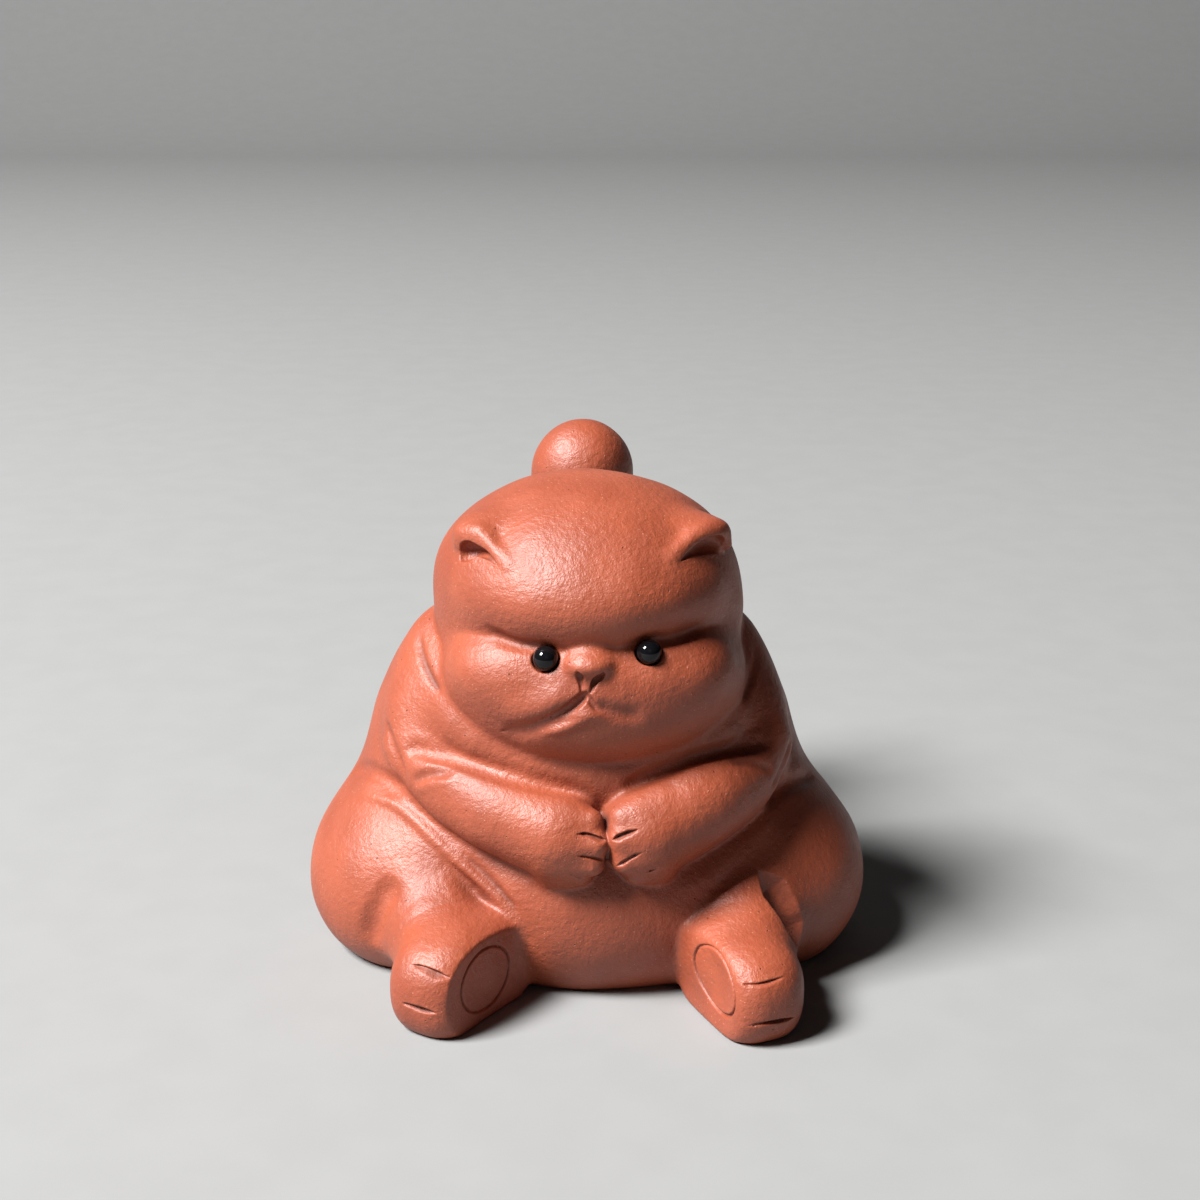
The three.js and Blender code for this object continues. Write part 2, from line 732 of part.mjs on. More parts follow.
function beadEye(name, centre) {
  const mesh = new THREE.Mesh(new THREE.IcosahedronGeometry(BEAD_RADIUS, BEAD_DETAIL), bead);
  mesh.position.set(...centre);
  mesh.name = name;
  return mesh;
}

const cat = new THREE.Group();
cat.add(catFigure());
for (const [name, centre] of Object.entries(EYE_CENTRES)) cat.add(beadEye(name, centre));

export default cat;
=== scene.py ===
"""Looks of the cat tea pet: one clay figure, two glossy bead eyes and a plain studio.

The figure is sculpted as one solid from rounded lumps, rolls, soft valleys and knife cuts, and
its skin is then worked out as one mesh. Sculpting sizes are millimetres in the part's own frame:
+Z is up, the face looks along -Y and the ground is z = 0. Left and right are the picture's.
"""

import logging
import math
from dataclasses import dataclass
from enum import Enum
from functools import cached_property

import bpy
import numpy as np
from mathutils import Matrix, Vector
from numpy.typing import NDArray


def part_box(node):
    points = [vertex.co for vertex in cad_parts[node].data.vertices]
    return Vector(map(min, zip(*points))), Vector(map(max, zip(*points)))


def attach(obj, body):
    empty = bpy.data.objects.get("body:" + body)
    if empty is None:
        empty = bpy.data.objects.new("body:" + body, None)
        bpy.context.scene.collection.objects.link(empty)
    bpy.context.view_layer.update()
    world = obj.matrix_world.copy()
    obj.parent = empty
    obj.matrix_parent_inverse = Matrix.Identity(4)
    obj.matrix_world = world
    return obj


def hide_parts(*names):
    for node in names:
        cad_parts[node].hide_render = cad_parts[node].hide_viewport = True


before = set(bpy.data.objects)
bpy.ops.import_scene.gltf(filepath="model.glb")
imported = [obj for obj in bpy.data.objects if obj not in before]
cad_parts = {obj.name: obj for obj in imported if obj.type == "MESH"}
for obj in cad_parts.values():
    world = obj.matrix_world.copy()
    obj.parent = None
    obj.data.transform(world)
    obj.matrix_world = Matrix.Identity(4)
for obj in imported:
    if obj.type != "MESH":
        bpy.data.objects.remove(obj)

Array = NDArray[np.float32]
Mask = NDArray[np.bool_]
Vec3 = tuple[float, float, float]
Colour = tuple[float, float, float]

LOG = logging.getLogger("cat_tea_pet")
MM = 0.001
FAR = 1000.0
JUST_INSIDE = -1e-3
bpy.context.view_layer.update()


def blend(a: Array, b: Array, reach: float) -> Array:
    """Join two shapes with a rounded seam: the nearer distance, less reach / 4 times the overlap squared.

    Args:
        a: distances to the first shape, in mm, negative inside.
        b: distances to the second shape.
        reach: difference in mm below which the two shapes melt into each other.

    Returns:
        The distances to the joined shape.
    """
    overlap = np.maximum(reach - np.abs(a - b), 0) / reach
    return np.minimum(a, b) - overlap * overlap * (reach * 0.25)


def carve(a: Array, b: Array, reach: float) -> Array:
    """Take shape b out of shape a, with an edge rounded over the given reach.

    Args:
        a: distances to the shape that is cut.
        b: distances to the shape that is taken away.
        reach: softness of the edge in mm.

    Returns:
        The distances to what is left.
    """
    return -blend(-a, b, reach)


def smooth_path(rows: Array, steps: int) -> Array:
    """Run a Catmull-Rom curve through rows of numbers, which may be points or points with a radius.

    Args:
        rows: one row for each station.
        steps: how many steps there are between two stations.

    Returns:
        The rows along the curve, the last station included.
    """
    first = 2 * rows[:1] - rows[1:2]
    last = 2 * rows[-1:] - rows[-2:-1]
    a, b, c, d = (np.concatenate([first, rows, last])[i : len(rows) - 1 + i, None] for i in range(4))
    t = np.linspace(0, 1, steps, endpoint=False)[None, :, None]
    curve = 2 * b + (c - a) * t + (2 * a - 5 * b + 4 * c - d) * t**2 + (3 * b - a - 3 * c + d) * t**3
    return np.concatenate([0.5 * curve.reshape(-1, rows.shape[1]), rows[-1:]]).astype(np.float32)


def nearest_on_path(p: Array, path: Array) -> tuple[Array, Array, NDArray[np.intp]]:
    """Find where each point is nearest to a path of straight pieces.

    Args:
        p: the points.
        path: the corners of the path.

    Returns:
        The distance to the path, the share of the piece at the nearest place, and the piece's number.
    """
    away = np.full(len(p), FAR, np.float32)
    share = np.zeros(len(p), np.float32)
    piece = np.zeros(len(p), np.intp)
    for i, (a, b) in enumerate(zip(path[:-1], path[1:])):
        run = b - a
        offset = p - a
        along = np.clip(offset @ run / (run @ run), 0, 1)
        here = np.linalg.norm(offset - along[:, None] * run, axis=1)
        closer = here < away
        away[closer] = here[closer]
        share[closer] = along[closer]
        piece[closer] = i
    return away, share, piece


class Shape:
    """A solid known by its distance function and by the box that it fits in."""

    def box(self) -> tuple[Array, Array]:
        """Lowest and highest corner of the shape."""
        raise NotImplementedError

    def distance(self, p: Array) -> Array:
        """Distance from each point to the shape, negative inside."""
        raise NotImplementedError

    def near(self, p: Array, margin: float) -> Mask:
        """Points inside the shape's box grown by a margin."""
        low, high = self.box()
        return np.all((p > low - margin) & (p < high + margin), axis=1)

    def joined(self, d: Array, p: Array, reach: float, skin: float) -> Array:
        """Blend this shape into a distance, at the points that it can change.

        Args:
            d: distances to what is there already; changed in place.
            p: the points.
            reach: reach of the seam in mm.
            skin: depth in mm on both sides of the surface within which distances must be right.

        Returns:
            The joined distances.
        """
        near = self.near(p, reach + skin)
        d[near] = blend(d[near], self.distance(p[near]), reach)
        return d

    def carved(self, d: Array, p: Array, reach: float, skin: float) -> Array:
        """Cut this shape out of a distance, at the points that it can change.

        Args:
            d: distances to what is cut; changed in place.
            p: the points.
            reach: softness of the cut's edge in mm.
            skin: depth in mm on both sides of the surface within which distances must be right.

        Returns:
            The distances to what is left.
        """
        near = self.near(p, reach + skin)
        d[near] = carve(d[near], self.distance(p[near]), reach)
        return d


@dataclass(frozen=True)
class Lump(Shape):
    """A rounded lump: its centre, its three half sizes, and a power that makes it squarer above 2."""

    centre: Vec3
    half: Vec3
    power: float = 2.0

    def box(self) -> tuple[Array, Array]:
        """Lowest and highest corner: the centre less and plus the half sizes."""
        centre, half = np.float32(self.centre), np.float32(self.half)
        return centre - half, centre + half

    def distance(self, p: Array) -> Array:
        """Superellipsoid: (size - 1) / slope, where size is the root of the sum of |x / half| to the power."""
        half = np.float32(self.half)
        scaled = np.abs((p - np.float32(self.centre)) / half) + np.float32(1e-6)
        if self.power == 2.0:
            size = np.linalg.norm(scaled, axis=1)
            slope = np.linalg.norm(scaled / half, axis=1) / size
            return (size - 1) / slope
        size = (scaled**self.power).sum(1) ** (1 / self.power)
        slope = np.linalg.norm((scaled / size[:, None]) ** (self.power - 1) / half, axis=1)
        return (size - 1) / slope


@dataclass(frozen=True)
class Roll(Shape):
    """A round limb along a smooth path, with a radius at each station."""

    points: tuple[Vec3, ...]
    radii: tuple[float, ...]
    steps: int = 4

    @cached_property
    def path(self) -> Array:
        """Rows of x, y, z and radius along the curve."""
        return smooth_path(np.column_stack([self.points, self.radii]).astype(np.float32), self.steps)

    def box(self) -> tuple[Array, Array]:
        """Lowest and highest corner of the path, grown by the largest radius."""
        reach = self.path[:, 3].max()
        return self.path[:, :3].min(0) - reach, self.path[:, :3].max(0) + reach

    def distance(self, p: Array) -> Array:
        """Least over the path's pieces of: distance to the piece, less the radius at the nearest place."""
        best = np.full(len(p), FAR, np.float32)
        for a, b in zip(self.path[:-1], self.path[1:]):
            run = b[:3] - a[:3]
            offset = p - a[:3]
            along = np.clip(offset @ run / (run @ run), 0, 1)
            away = np.linalg.norm(offset - along[:, None] * run, axis=1)
            best = np.minimum(best, away - a[3] - along * (b[3] - a[3]))
        return best


@dataclass(frozen=True)
class Valley:
    """A soft valley pressed into the surface beside a path, or a ridge where the depth is negative."""

    points: tuple[Vec3, ...]
    width: float
    depth: float
    fade: float = 0.3
    steps: int = 4

    @cached_property
    def path(self) -> Array:
        """Corners of the path."""
        return smooth_path(np.float32(self.points), self.steps)

    def pressed(self, d: Array, p: Array) -> Array:
        """Add depth * fade * exp(-(distance / width) squared), where fade eases both ends of the path.

        Args:
            d: distances to the surface that is pressed; changed in place.
            p: the points.

        Returns:
            The distances with the valley in them.
        """
        margin = 3 * self.width
        low, high = self.path.min(0) - margin, self.path.max(0) + margin
        near = np.all((p > low) & (p < high), axis=1)
        away, share, piece = nearest_on_path(p[near], self.path)
        where = (piece + share) / (len(self.path) - 1)
        end = np.clip(np.minimum(where, 1 - where) / self.fade, 0, 1)
        d[near] += self.depth * end * end * (3 - 2 * end) * np.exp(-((away / self.width) ** 2))
        return d


@dataclass(frozen=True)
class Knife(Shape):
    """A V-shaped knife cut along a path on the surface, with the blade held square to the outward way."""

    points: tuple[Vec3, ...]
    outward: Vec3
    width: float
    depth: float
    taper: float = 0.25
    steps: int = 4
    reach_out: float = 2.0

    @cached_property
    def path(self) -> Array:
        """Corners of the path."""
        return smooth_path(np.float32(self.points), self.steps)

    def box(self) -> tuple[Array, Array]:
        """Lowest and highest corner of the path, grown by the depth."""
        return self.path.min(0) - self.depth, self.path.max(0) + self.depth

    def distance(self, p: Array) -> Array:
        """Wedge: (sideways - half width * (height + depth) / depth) / slant, and no further than the ends."""
        _, share, piece = nearest_on_path(p, self.path)
        run = (self.path[1:] - self.path[:-1])[piece]
        outward = np.float32(self.outward) / np.linalg.norm(self.outward)
        offset = p - self.path[piece] - share[:, None] * run
        height = offset @ outward
        sideways = np.linalg.norm(offset - height[:, None] * outward, axis=1)
        where = (piece + share) / (len(self.path) - 1)
        lift = self.depth * (1 - np.clip(np.minimum(where, 1 - where) / self.taper, 0, 1)) if self.taper else 0
        lean = 0.5 * self.width / self.depth
        wedge = (sideways - lean * (height + self.depth - lift)) / math.hypot(1, lean)
        return np.maximum(wedge, height - self.reach_out)


def empty(p: Array) -> Array:
    """Distances to nothing: far away from every point."""
    return np.full(len(p), FAR, np.float32)


@dataclass(frozen=True)
class Torso:
    """The pear-shaped body with both thighs, and the soft folds where belly, thighs and hips meet."""

    lumps: tuple[Lump, ...] = (
        Lump((-0.9, 4, 23.5), (26.6, 19.5, 21.5), 2.1),
        Lump((1, -3.5, 10), (20, 18.2, 15), 2.2),
        Lump((0, 9, 12), (22, 16.5, 15)),
    )
    thighs: tuple[Lump, ...] = (
        Lump((-19.7, -0.5, 8.8), (15.3, 16.5, 12.8), 2.1),
        Lump((19.2, -0.5, 8.8), (15.3, 16.5, 12.8), 2.1),
    )
    lump_blend: float = 5.5
    thigh_blend: float = 8.0
    folds: tuple[Valley, ...] = (
        Valley(((-17.5, -14.5, 17), (-13.5, -17.5, 12), (-10.5, -18.5, 8.5), (-8.5, -18.8, 4)), 1.6, 1.3),
        Valley(((18.5, -13.5, 17), (15, -17.5, 12.5), (12.5, -18.5, 8.5), (11, -18.6, 4)), 1.6, 1.1),
    )

    def distance(self, p: Array, skin: float) -> Array:
        """Distance to the body: lumps and thighs joined, then the folds pressed in."""
        d = empty(p)
        for lump in self.lumps:
            d = lump.joined(d, p, self.lump_blend, skin)
        for thigh in self.thighs:
            d = thigh.joined(d, p, self.thigh_blend, skin)
        for fold in self.folds:
            d = fold.pressed(d, p)
        return d


@dataclass(frozen=True)
class Foot:
    """A foot that lies on its outer edge: a loaf pointing along toe, cut flat by the sole on its inner side."""

    centre: Vec3
    toe: tuple[float, float]
    half: Vec3
    power: float
    sole: float
    edge: float
    toe_cuts: tuple[tuple[Vec3, ...], ...]
    oval_ahead: float
    oval_up: float
    oval_half: tuple[float, float]
    oval_tilt: float
    cut_width: float = 0.45
    cut_depth: float = 0.55
    groove_width: float = 0.4
    groove_depth: float = 0.4
    cut_edge: float = 0.12
    oval_steps: int = 40
    dish: float = 0.6
    dish_spread: float = 4.0

    @cached_property
    def axes(self) -> Array:
        """Rows: along to the toes, across to the sole, and up."""
        along = np.array([*self.toe, 0.0]) / math.hypot(*self.toe)
        turn = math.copysign(1.0, self.centre[0])
        return np.float32([along, [turn * along[1], -turn * along[0], 0], [0, 0, 1]])

    @cached_property
    def loaf(self) -> Lump:
        """The foot's lump in its own axes."""
        return Lump((0, 0, 0), self.half, self.power)

    @cached_property
    def cuts(self) -> tuple[Knife, ...]:
        """Knife cuts between the toes, and the oval groove round the pad of the sole."""
        toes = [Knife(points, (*self.toe, 0.0), self.cut_width, self.cut_depth) for points in self.toe_cuts]
        angle = np.linspace(0, 2 * math.pi, self.oval_steps + 1)
        ahead, up = self.oval_half[0] * np.cos(angle), self.oval_half[1] * np.sin(angle)
        tilt = self.oval_tilt
        rows = np.stack(
            [
                self.oval_ahead + ahead * math.cos(tilt) - up * math.sin(tilt),
                self.sole - self.dish * np.exp(-((ahead**2 + up**2) / self.dish_spread**2)),
                self.oval_up - self.centre[2] + ahead * math.sin(tilt) + up * math.cos(tilt),
            ],
            axis=1,
        )
        ring = rows @ self.axes + np.array(self.centre)
        outward = tuple(float(v) for v in self.axes[1])
        oval = Knife(tuple(map(tuple, ring)), outward, self.groove_width, self.groove_depth, 0.0, 1)
        return (*toes, oval)

    def joined(self, d: Array, p: Array, reach: float, skin: float) -> Array:
        """Blend the foot into a distance and cut its toes and sole.

        Args:
            d: distances to what is there already; changed in place.
            p: the points.
            reach: reach of the seam in mm.
            skin: depth in mm on both sides of the surface within which distances must be right.

        Returns:
            The joined distances.
        """
        centre = np.float32(self.centre)
        near = np.linalg.norm(p - centre, axis=1) < max(self.half) + reach + skin
        local = (p[near] - centre) @ self.axes.T
        off = np.hypot(local[:, 0] - self.oval_ahead, local[:, 2] + self.centre[2] - self.oval_up)
        face = self.sole - self.dish * np.exp(-((off / self.dish_spread) ** 2))
        loaf = carve(self.loaf.distance(local), face - local[:, 1], self.edge)
        d[near] = blend(d[near], loaf, reach)
        for cut in self.cuts:
            d = cut.carved(d, p, self.cut_edge, skin)
        return d


@dataclass(frozen=True)
class Legs:
    """Both legs and feet, with the creases where a leg comes out of its thigh."""

    rolls: tuple[Roll, ...] = (
        Roll(((-21, -4, 9), (-18.6, -13, 7.8), (-16.5, -20, 5.8)), (8, 7, 6)),
        Roll(((20, -4, 9), (18.6, -13, 8), (18.3, -20, 6.2)), (8, 7.3, 6.2)),
    )
    roll_blend: float = 2.2
    creases: tuple[Valley, ...] = (
        Valley(((-22.3, -16, 14), (-24.2, -16.6, 11.6), (-25.6, -16.3, 8.2), (-26, -15, 4)), 1.3, 1.3),
    )
    feet: tuple[Foot, ...] = (
        Foot(
            centre=(-14.6, -21.8, 4.6),
            toe=(-0.57, -0.82),
            half=(9.6, 6.2, 6.8),
            power=2.5,
            sole=4.2,
            edge=0.3,
            toe_cuts=(
                ((-20, -28.2, 8.8), (-18.3, -29.2, 8.8), (-15.6, -29.9, 8.1)),
                ((-21.2, -28.8, 4.4), (-19.9, -29.8, 4.4), (-17.1, -30.9, 4.1)),
            ),
            oval_ahead=0.8,
            oval_up=5.2,
            oval_half=(4.4, 3.8),
            oval_tilt=0.0,
        ),
        Foot(
            centre=(17.4, -22.9, 4.6),
            toe=(0.413, -0.911),
            half=(9.6, 6.2, 6.6),
            power=2.5,
            sole=4.4,
            edge=0.9,
            toe_cuts=(
                ((17.3, -31.2, 8), (18.8, -31.5, 8.1), (22.2, -30, 8.4)),
                ((18, -32.1, 3.3), (19.9, -32.1, 3.6), (23.5, -30.2, 3.3)),
            ),
            oval_ahead=2.5,
            oval_up=6.2,
            oval_half=(4.7, 3.4),
            oval_tilt=-0.3,
        ),
    )
    foot_blend: float = 1.5

    def joined(self, d: Array, p: Array, skin: float) -> Array:
        """Blend legs, creases and feet into the body's distances."""
        for roll in self.rolls:
            d = roll.joined(d, p, self.roll_blend, skin)
        for crease in self.creases:
            d = crease.pressed(d, p)
        for foot in self.feet:
            d = foot.joined(d, p, self.foot_blend, skin)
        return d


@dataclass(frozen=True)
class Cape:
    """The upper back, the roll of fat round the neck, the chest and the shoulders."""

    back: Lump = Lump((-1.1, 3, 32.5), (22.3, 16.2, 13))
    neck: Roll = Roll(
        ((-15.5, 0, 37), (-13.6, -10.5, 31.5), (0.5, -15.2, 28), (13.8, -10.5, 31.2), (14.5, 0, 36)),
        (5, 4.4, 3.8, 4.4, 5),
        5,
    )
    chest: Lump = Lump((1.5, -10.5, 25.5), (15, 8.3, 6.5))
    chest_blend: float = 2.0
    shoulders: tuple[Roll, ...] = (
        Roll(((-15.5, 0.5, 36.5), (-18.3, -3.5, 31.5), (-19.3, -6.5, 27.8)), (6, 6, 5)),
        Roll(((14.6, 0.5, 36.5), (17.8, -3.5, 31), (19.4, -6.5, 27.8)), (6.2, 6, 5)),
    )
    shoulder_blend: float = 3.0
    blend: float = 2.5
    jaw_creases: tuple[Valley, ...] = (
        Valley(((-20.6, -2, 40.5), (-19.9, -5.5, 38.4), (-18.3, -9, 36.2), (-15.6, -12.6, 34)), 0.5, 0.35),
        Valley(((20.8, -2, 39.5), (20.2, -5.5, 37.5), (18.8, -9, 35.2), (16.2, -12.6, 33)), 0.5, 0.35),
    )

    def joined(self, d: Array, p: Array, skin: float) -> Array:
        """Build the cape on its own, blend it into the body's distances and press the creases."""
        cape = self.back.joined(empty(p), p, self.shoulder_blend, skin + self.blend)
        cape = self.neck.joined(cape, p, self.shoulder_blend, skin + self.blend)
        cape = self.chest.joined(cape, p, self.chest_blend, skin + self.blend)
        for shoulder in self.shoulders:
            cape = shoulder.joined(cape, p, self.shoulder_blend, skin + self.blend)
        d = blend(d, cape, self.blend)
        for crease in self.jaw_creases:
            d = crease.pressed(d, p)
        return d


@dataclass(frozen=True)
class Arm:
    """A forearm that lies on the belly, and a paw of four fingers."""

    forearm: Roll
    tips: tuple[Vec3, ...]
    root_x: float
    rise: float
    cuts: tuple[tuple[Vec3, ...], ...]
    wrinkles: tuple[Valley, ...] = ()
    slope: float = 1.6
    root_radius: float = 2.3
    tip_radius: float = 1.5
    finger_blend: float = 1.3
    cut_outward: Vec3 = (0, -1, 0)
    cut_width: float = 0.5
    cut_depth: float = 0.8
    cut_edge: float = 0.12

    @cached_property
    def fingers(self) -> tuple[Roll, ...]:
        """One short roll for each finger, from inside the paw to its tip."""
        radii = (self.root_radius, self.tip_radius)
        return tuple(
            Roll(((self.root_x, y + self.slope, z + self.rise), (x, y, z)), radii, 1)
            for x, y, z in self.tips
        )

    def distance(self, p: Array, skin: float) -> Array:
        """Distance to forearm, fingers and wrinkles together."""
        d = self.forearm.joined(empty(p), p, self.finger_blend, skin)
        for finger in self.fingers:
            d = finger.joined(d, p, self.finger_blend, skin)
        for wrinkle in self.wrinkles:
            d = wrinkle.pressed(d, p)
        return d

    def cut(self, d: Array, p: Array, skin: float) -> Array:
        """Cut the lines between the fingers."""
        for points in self.cuts:
            knife = Knife(points, self.cut_outward, self.cut_width, self.cut_depth)
            d = knife.carved(d, p, self.cut_edge, skin)
        return d


@dataclass(frozen=True)
class Arms:
    """Both arms, whose paws meet in front of the belly."""

    left: Arm = Arm(
        forearm=Roll(
            ((-19.2, -6.5, 27.4), (-16.4, -11.2, 25), (-10.5, -16.1, 23), (-3.6, -19.2, 21.1)),
            (4.7, 4.8, 5.2, 5.3),
        ),
        tips=((0.4, -21.6, 23.5), (1, -22.8, 21.3), (0.5, -22.5, 18.8), (-0.9, -21, 16.9)),
        root_x=-4,
        rise=-0.3,
        cuts=(
            ((-1.2, -23.7, 22.9), (0.3, -23.7, 22.7), (2.9, -24, 21.7)),
            ((-1.5, -24.4, 20.5), (0.3, -24.1, 20.1), (2.8, -23.4, 19.3)),
            ((-2.5, -24.3, 18.5), (-1.5, -23.7, 17.6), (-0.3, -22.9, 16.9)),
        ),
    )
    right: Arm = Arm(
        forearm=Roll(
            ((19.9, -6.5, 27.6), (17.2, -11.5, 25), (12.3, -15.9, 23.4), (6.6, -19.2, 21.3)),
            (4.5, 5, 5.6, 5.3),
        ),
        tips=((4, -21.6, 24), (3.9, -22.8, 21.8), (4.3, -22.6, 19.2), (5.7, -21.2, 17.1)),
        root_x=8,
        rise=0.4,
        cuts=(
            ((2.8, -23.8, 22.2), (4, -24, 22.9), (5.6, -23.9, 23.5)),
            ((3.2, -23.8, 18.9), (4.6, -24.4, 20), (6.2, -24.6, 21)),
            ((5.1, -23, 16.8), (6.6, -24, 18), (8.2, -24.1, 19)),
        ),
    )
    paw_blend: float = 0.3
    blend: float = 1.0

    def joined(self, d: Array, p: Array, skin: float) -> Array:
        """Blend both arms into the body's distances and cut the fingers."""
        inner = skin + self.blend
        both = blend(self.left.distance(p, inner), self.right.distance(p, inner), self.paw_blend)
        d = blend(d, both, self.blend)
        for arm in (self.left, self.right):
            d = arm.cut(d, p, skin)
        return d


@dataclass(frozen=True)
class Ear:
    """A folded ear: a soft hood, a rim that runs over it, and a hollow under the rim."""

    hood: Lump
    rim: Roll
    hollow: Roll
    hood_blend: float = 2.0
    rim_blend: float = 1.4
    hollow_edge: float = 0.2

    def shaped(self, d: Array, p: Array, skin: float) -> Array:
        """Raise the hood and the rim on the head's distances and carve the hollow."""
        d = self.hood.joined(d, p, self.hood_blend, skin)
        d = self.rim.joined(d, p, self.rim_blend, skin)
        return self.hollow.carved(d, p, self.hollow_edge, skin)


@dataclass(frozen=True)
class Head:
    """The head: cranium over brow crease over cheeks, with nose, mouth folds, lip and ears."""

    cranium: Lump = Lump((-0.3, -3.2, 47.6), (17.9, 17.2, 12.2))
    brow: Lump = Lump((0.2, -9.3, 48), (14.5, 11.6, 5.6))
    brow_blend: float = 2.5
    jaw: Lump = Lump((0.7, -7.2, 37), (18, 15, 11.6))
    cheeks: tuple[Lump, ...] = (
        Lump((-8.3, -13.2, 39.4), (7.2, 6.4, 5.2)),
        Lump((9.3, -13.2, 39.4), (7.2, 6.4, 5.2)),
    )
    cheek_blend: float = 2.5
    crease: float = 0.6
    core: Lump = Lump((0, -1.7, 43.8), (18.7, 16.3, 15))
    core_blend: float = 1.5
    room_below: Vec3 = (6, 8, 10)
    room_above: Vec3 = (6, 8, 8)
    nose: tuple[Lump, ...] = (
        Lump((0.2, -19.3, 43), (1.9, 1.4, 1.1)),
        Lump((0.2, -20.1, 42), (2.7, 2.2, 1.45)),
    )
    nose_blend: float = 1.1
    lip: Lump = Lump((0.3, -19.5, 36.6), (3, 2.9, 1.2))
    lip_blend: float = 1.0
    mouth_folds: tuple[Valley, ...] = (
        Valley(
            ((-0.6, -21.8, 38.3), (-3.9, -21.6, 35.9), (-7.9, -19.8, 33.8), (-9.7, -18.4, 33.2)),
            1.0, 0.6,
        ),
        Valley(((-1.5, -22, 39.8), (-4, -21.7, 38.1), (-7, -20.6, 36.7), (-10, -18.6, 36)), 1.5, -0.4),
        Valley(((0.6, -22.2, 37.4), (-0.9, -22, 35.9), (-2.9, -21.6, 34.8), (-5.9, -20.5, 33.8)), 0.55, -0.4),
        Valley(((0.6, -22, 38.3), (2.2, -22, 37.3), (4.3, -21.6, 36.7), (6.8, -20.8, 36.3)), 0.9, 0.45),
    )
    mouth_cuts: tuple[Roll, ...] = (
        Roll(
            (
                (-0.1, -22, 39.1), (-0.6, -21.8, 38.6), (-1.9, -21.9, 37.5), (-3.9, -21.6, 36.1),
                (-5.9, -20.9, 35), (-7.9, -19.8, 34), (-9.7, -18.4, 33.4),
            ),
            (0.25, 0.55, 0.6, 0.5, 0.35, 0.2, 0.05),
        ),
        Roll(
            ((0.1, -22, 39), (0.4, -22, 38.3), (0.9, -22.1, 37.6), (1.6, -22.1, 37.1)),
            (0.2, 0.32, 0.25, 0.05),
        ),
    )
    brow_folds: tuple[Valley, ...] = (
        Valley(
            (
                (-12, -16, 45.4), (-9.6, -17.2, 44.2), (-7.9, -18, 43.8), (-5.9, -18.7, 43.8),
                (-2.9, -19.4, 43.6),
            ),
            0.75, 0.8,
        ),
        Valley(
            (
                (3.6, -19.4, 43.7), (5.6, -18.9, 44.1), (7, -18.4, 44.4), (9, -17.7, 44),
                (10.6, -16.9, 44.1), (12.1, -15.5, 44.4), (13.8, -14, 45.3),
            ),
            0.75, 0.8,
        ),
    )
    mouth_edge: float = 0.3
    nostrils: tuple[Roll, ...] = (
        Roll(
            ((-1.05, -21.9, 41.6), (-0.9, -21.7, 41.1), (-0.75, -21.5, 40.3), (-0.6, -21.8, 39.2)),
            (0.2, 0.45, 0.24, 0.12),
        ),
        Roll(
            ((1.8, -21.5, 41.6), (1.3, -21.4, 41.1), (0.75, -21.4, 40.3), (0.4, -21.8, 39.3)),
            (0.3, 0.52, 0.34, 0.12),
        ),
    )
    nostril_edge: float = 0.15
    ears: tuple[Ear, ...] = (
        Ear(
            hood=Lump((-12.2, -9.2, 54.6), (3.4, 3.3, 2)),
            rim=Roll(
                (
                    (-8.8, -16.3, 52.4), (-10.6, -14.3, 53.9), (-12.3, -12, 54.9), (-13.7, -10.8, 54.5),
                    (-14.7, -10.4, 53.6),
                ),
                (0.15, 0.5, 0.9, 0.7, 0.3),
            ),
            hollow=Roll(
                (
                    (-9.3, -16.7, 51.9), (-10.9, -15.2, 52.9), (-12.2, -13, 53.3), (-13.4, -12.1, 53),
                    (-14.2, -11.9, 52.4),
                ),
                (0.05, 0.3, 0.8, 1.3, 0.8),
            ),
        ),
        Ear(
            hood=Lump((12.5, -8.4, 54.5), (3.5, 3.5, 2)),
            rim=Roll(
                (
                    (9.4, -15, 53), (11.6, -12.8, 54.3), (13.7, -10.6, 54.9), (15.4, -9, 54.5),
                    (16.3, -8.5, 52.8),
                ),
                (0.2, 0.6, 0.85, 0.8, 0.35),
            ),
            hollow=Roll(
                (
                    (10.3, -15.4, 52.6), (12.1, -13.3, 53.3), (13.7, -11.6, 53.6), (14.9, -10.6, 53.3),
                    (15.8, -10, 52.1),
                ),
                (0.1, 0.65, 1.1, 1.1, 0.4),
            ),
        ),
    )
    blend: float = 0.8

    def distance(self, p: Array, skin: float) -> Array:
        """Distance to the head without its eye sockets."""
        upper = self.cranium.joined(empty(p), p, self.brow_blend, skin)
        upper = self.brow.joined(upper, p, self.brow_blend, skin)
        lower = self.jaw.joined(empty(p), p, self.cheek_blend, skin)
        for cheek in self.cheeks:
            lower = cheek.joined(lower, p, self.cheek_blend, skin)
        d = self.core.joined(blend(upper, lower, self.crease), p, self.core_blend, skin)
        for lump in self.nose:
            d = lump.joined(d, p, self.nose_blend, skin)
        d = self.lip.joined(d, p, self.lip_blend, skin)
        for fold in (*self.mouth_folds, *self.brow_folds):
            d = fold.pressed(d, p)
        for cut in self.mouth_cuts:
            d = cut.carved(d, p, self.mouth_edge, skin)
        for nostril in self.nostrils:
            d = nostril.carved(d, p, self.nostril_edge, skin)
        for ear in self.ears:
            d = ear.shaped(d, p, skin)
        return d

    def joined(self, d: Array, p: Array, skin: float) -> Array:
        """Blend the head into the body's distances, worked out only near the head."""
        low, high = self.core.box()
        near = np.all((p > low - self.room_below) & (p < high + self.room_above), axis=1)
        d[near] = blend(d[near], self.distance(p[near], skin + self.blend), self.blend)
        return d


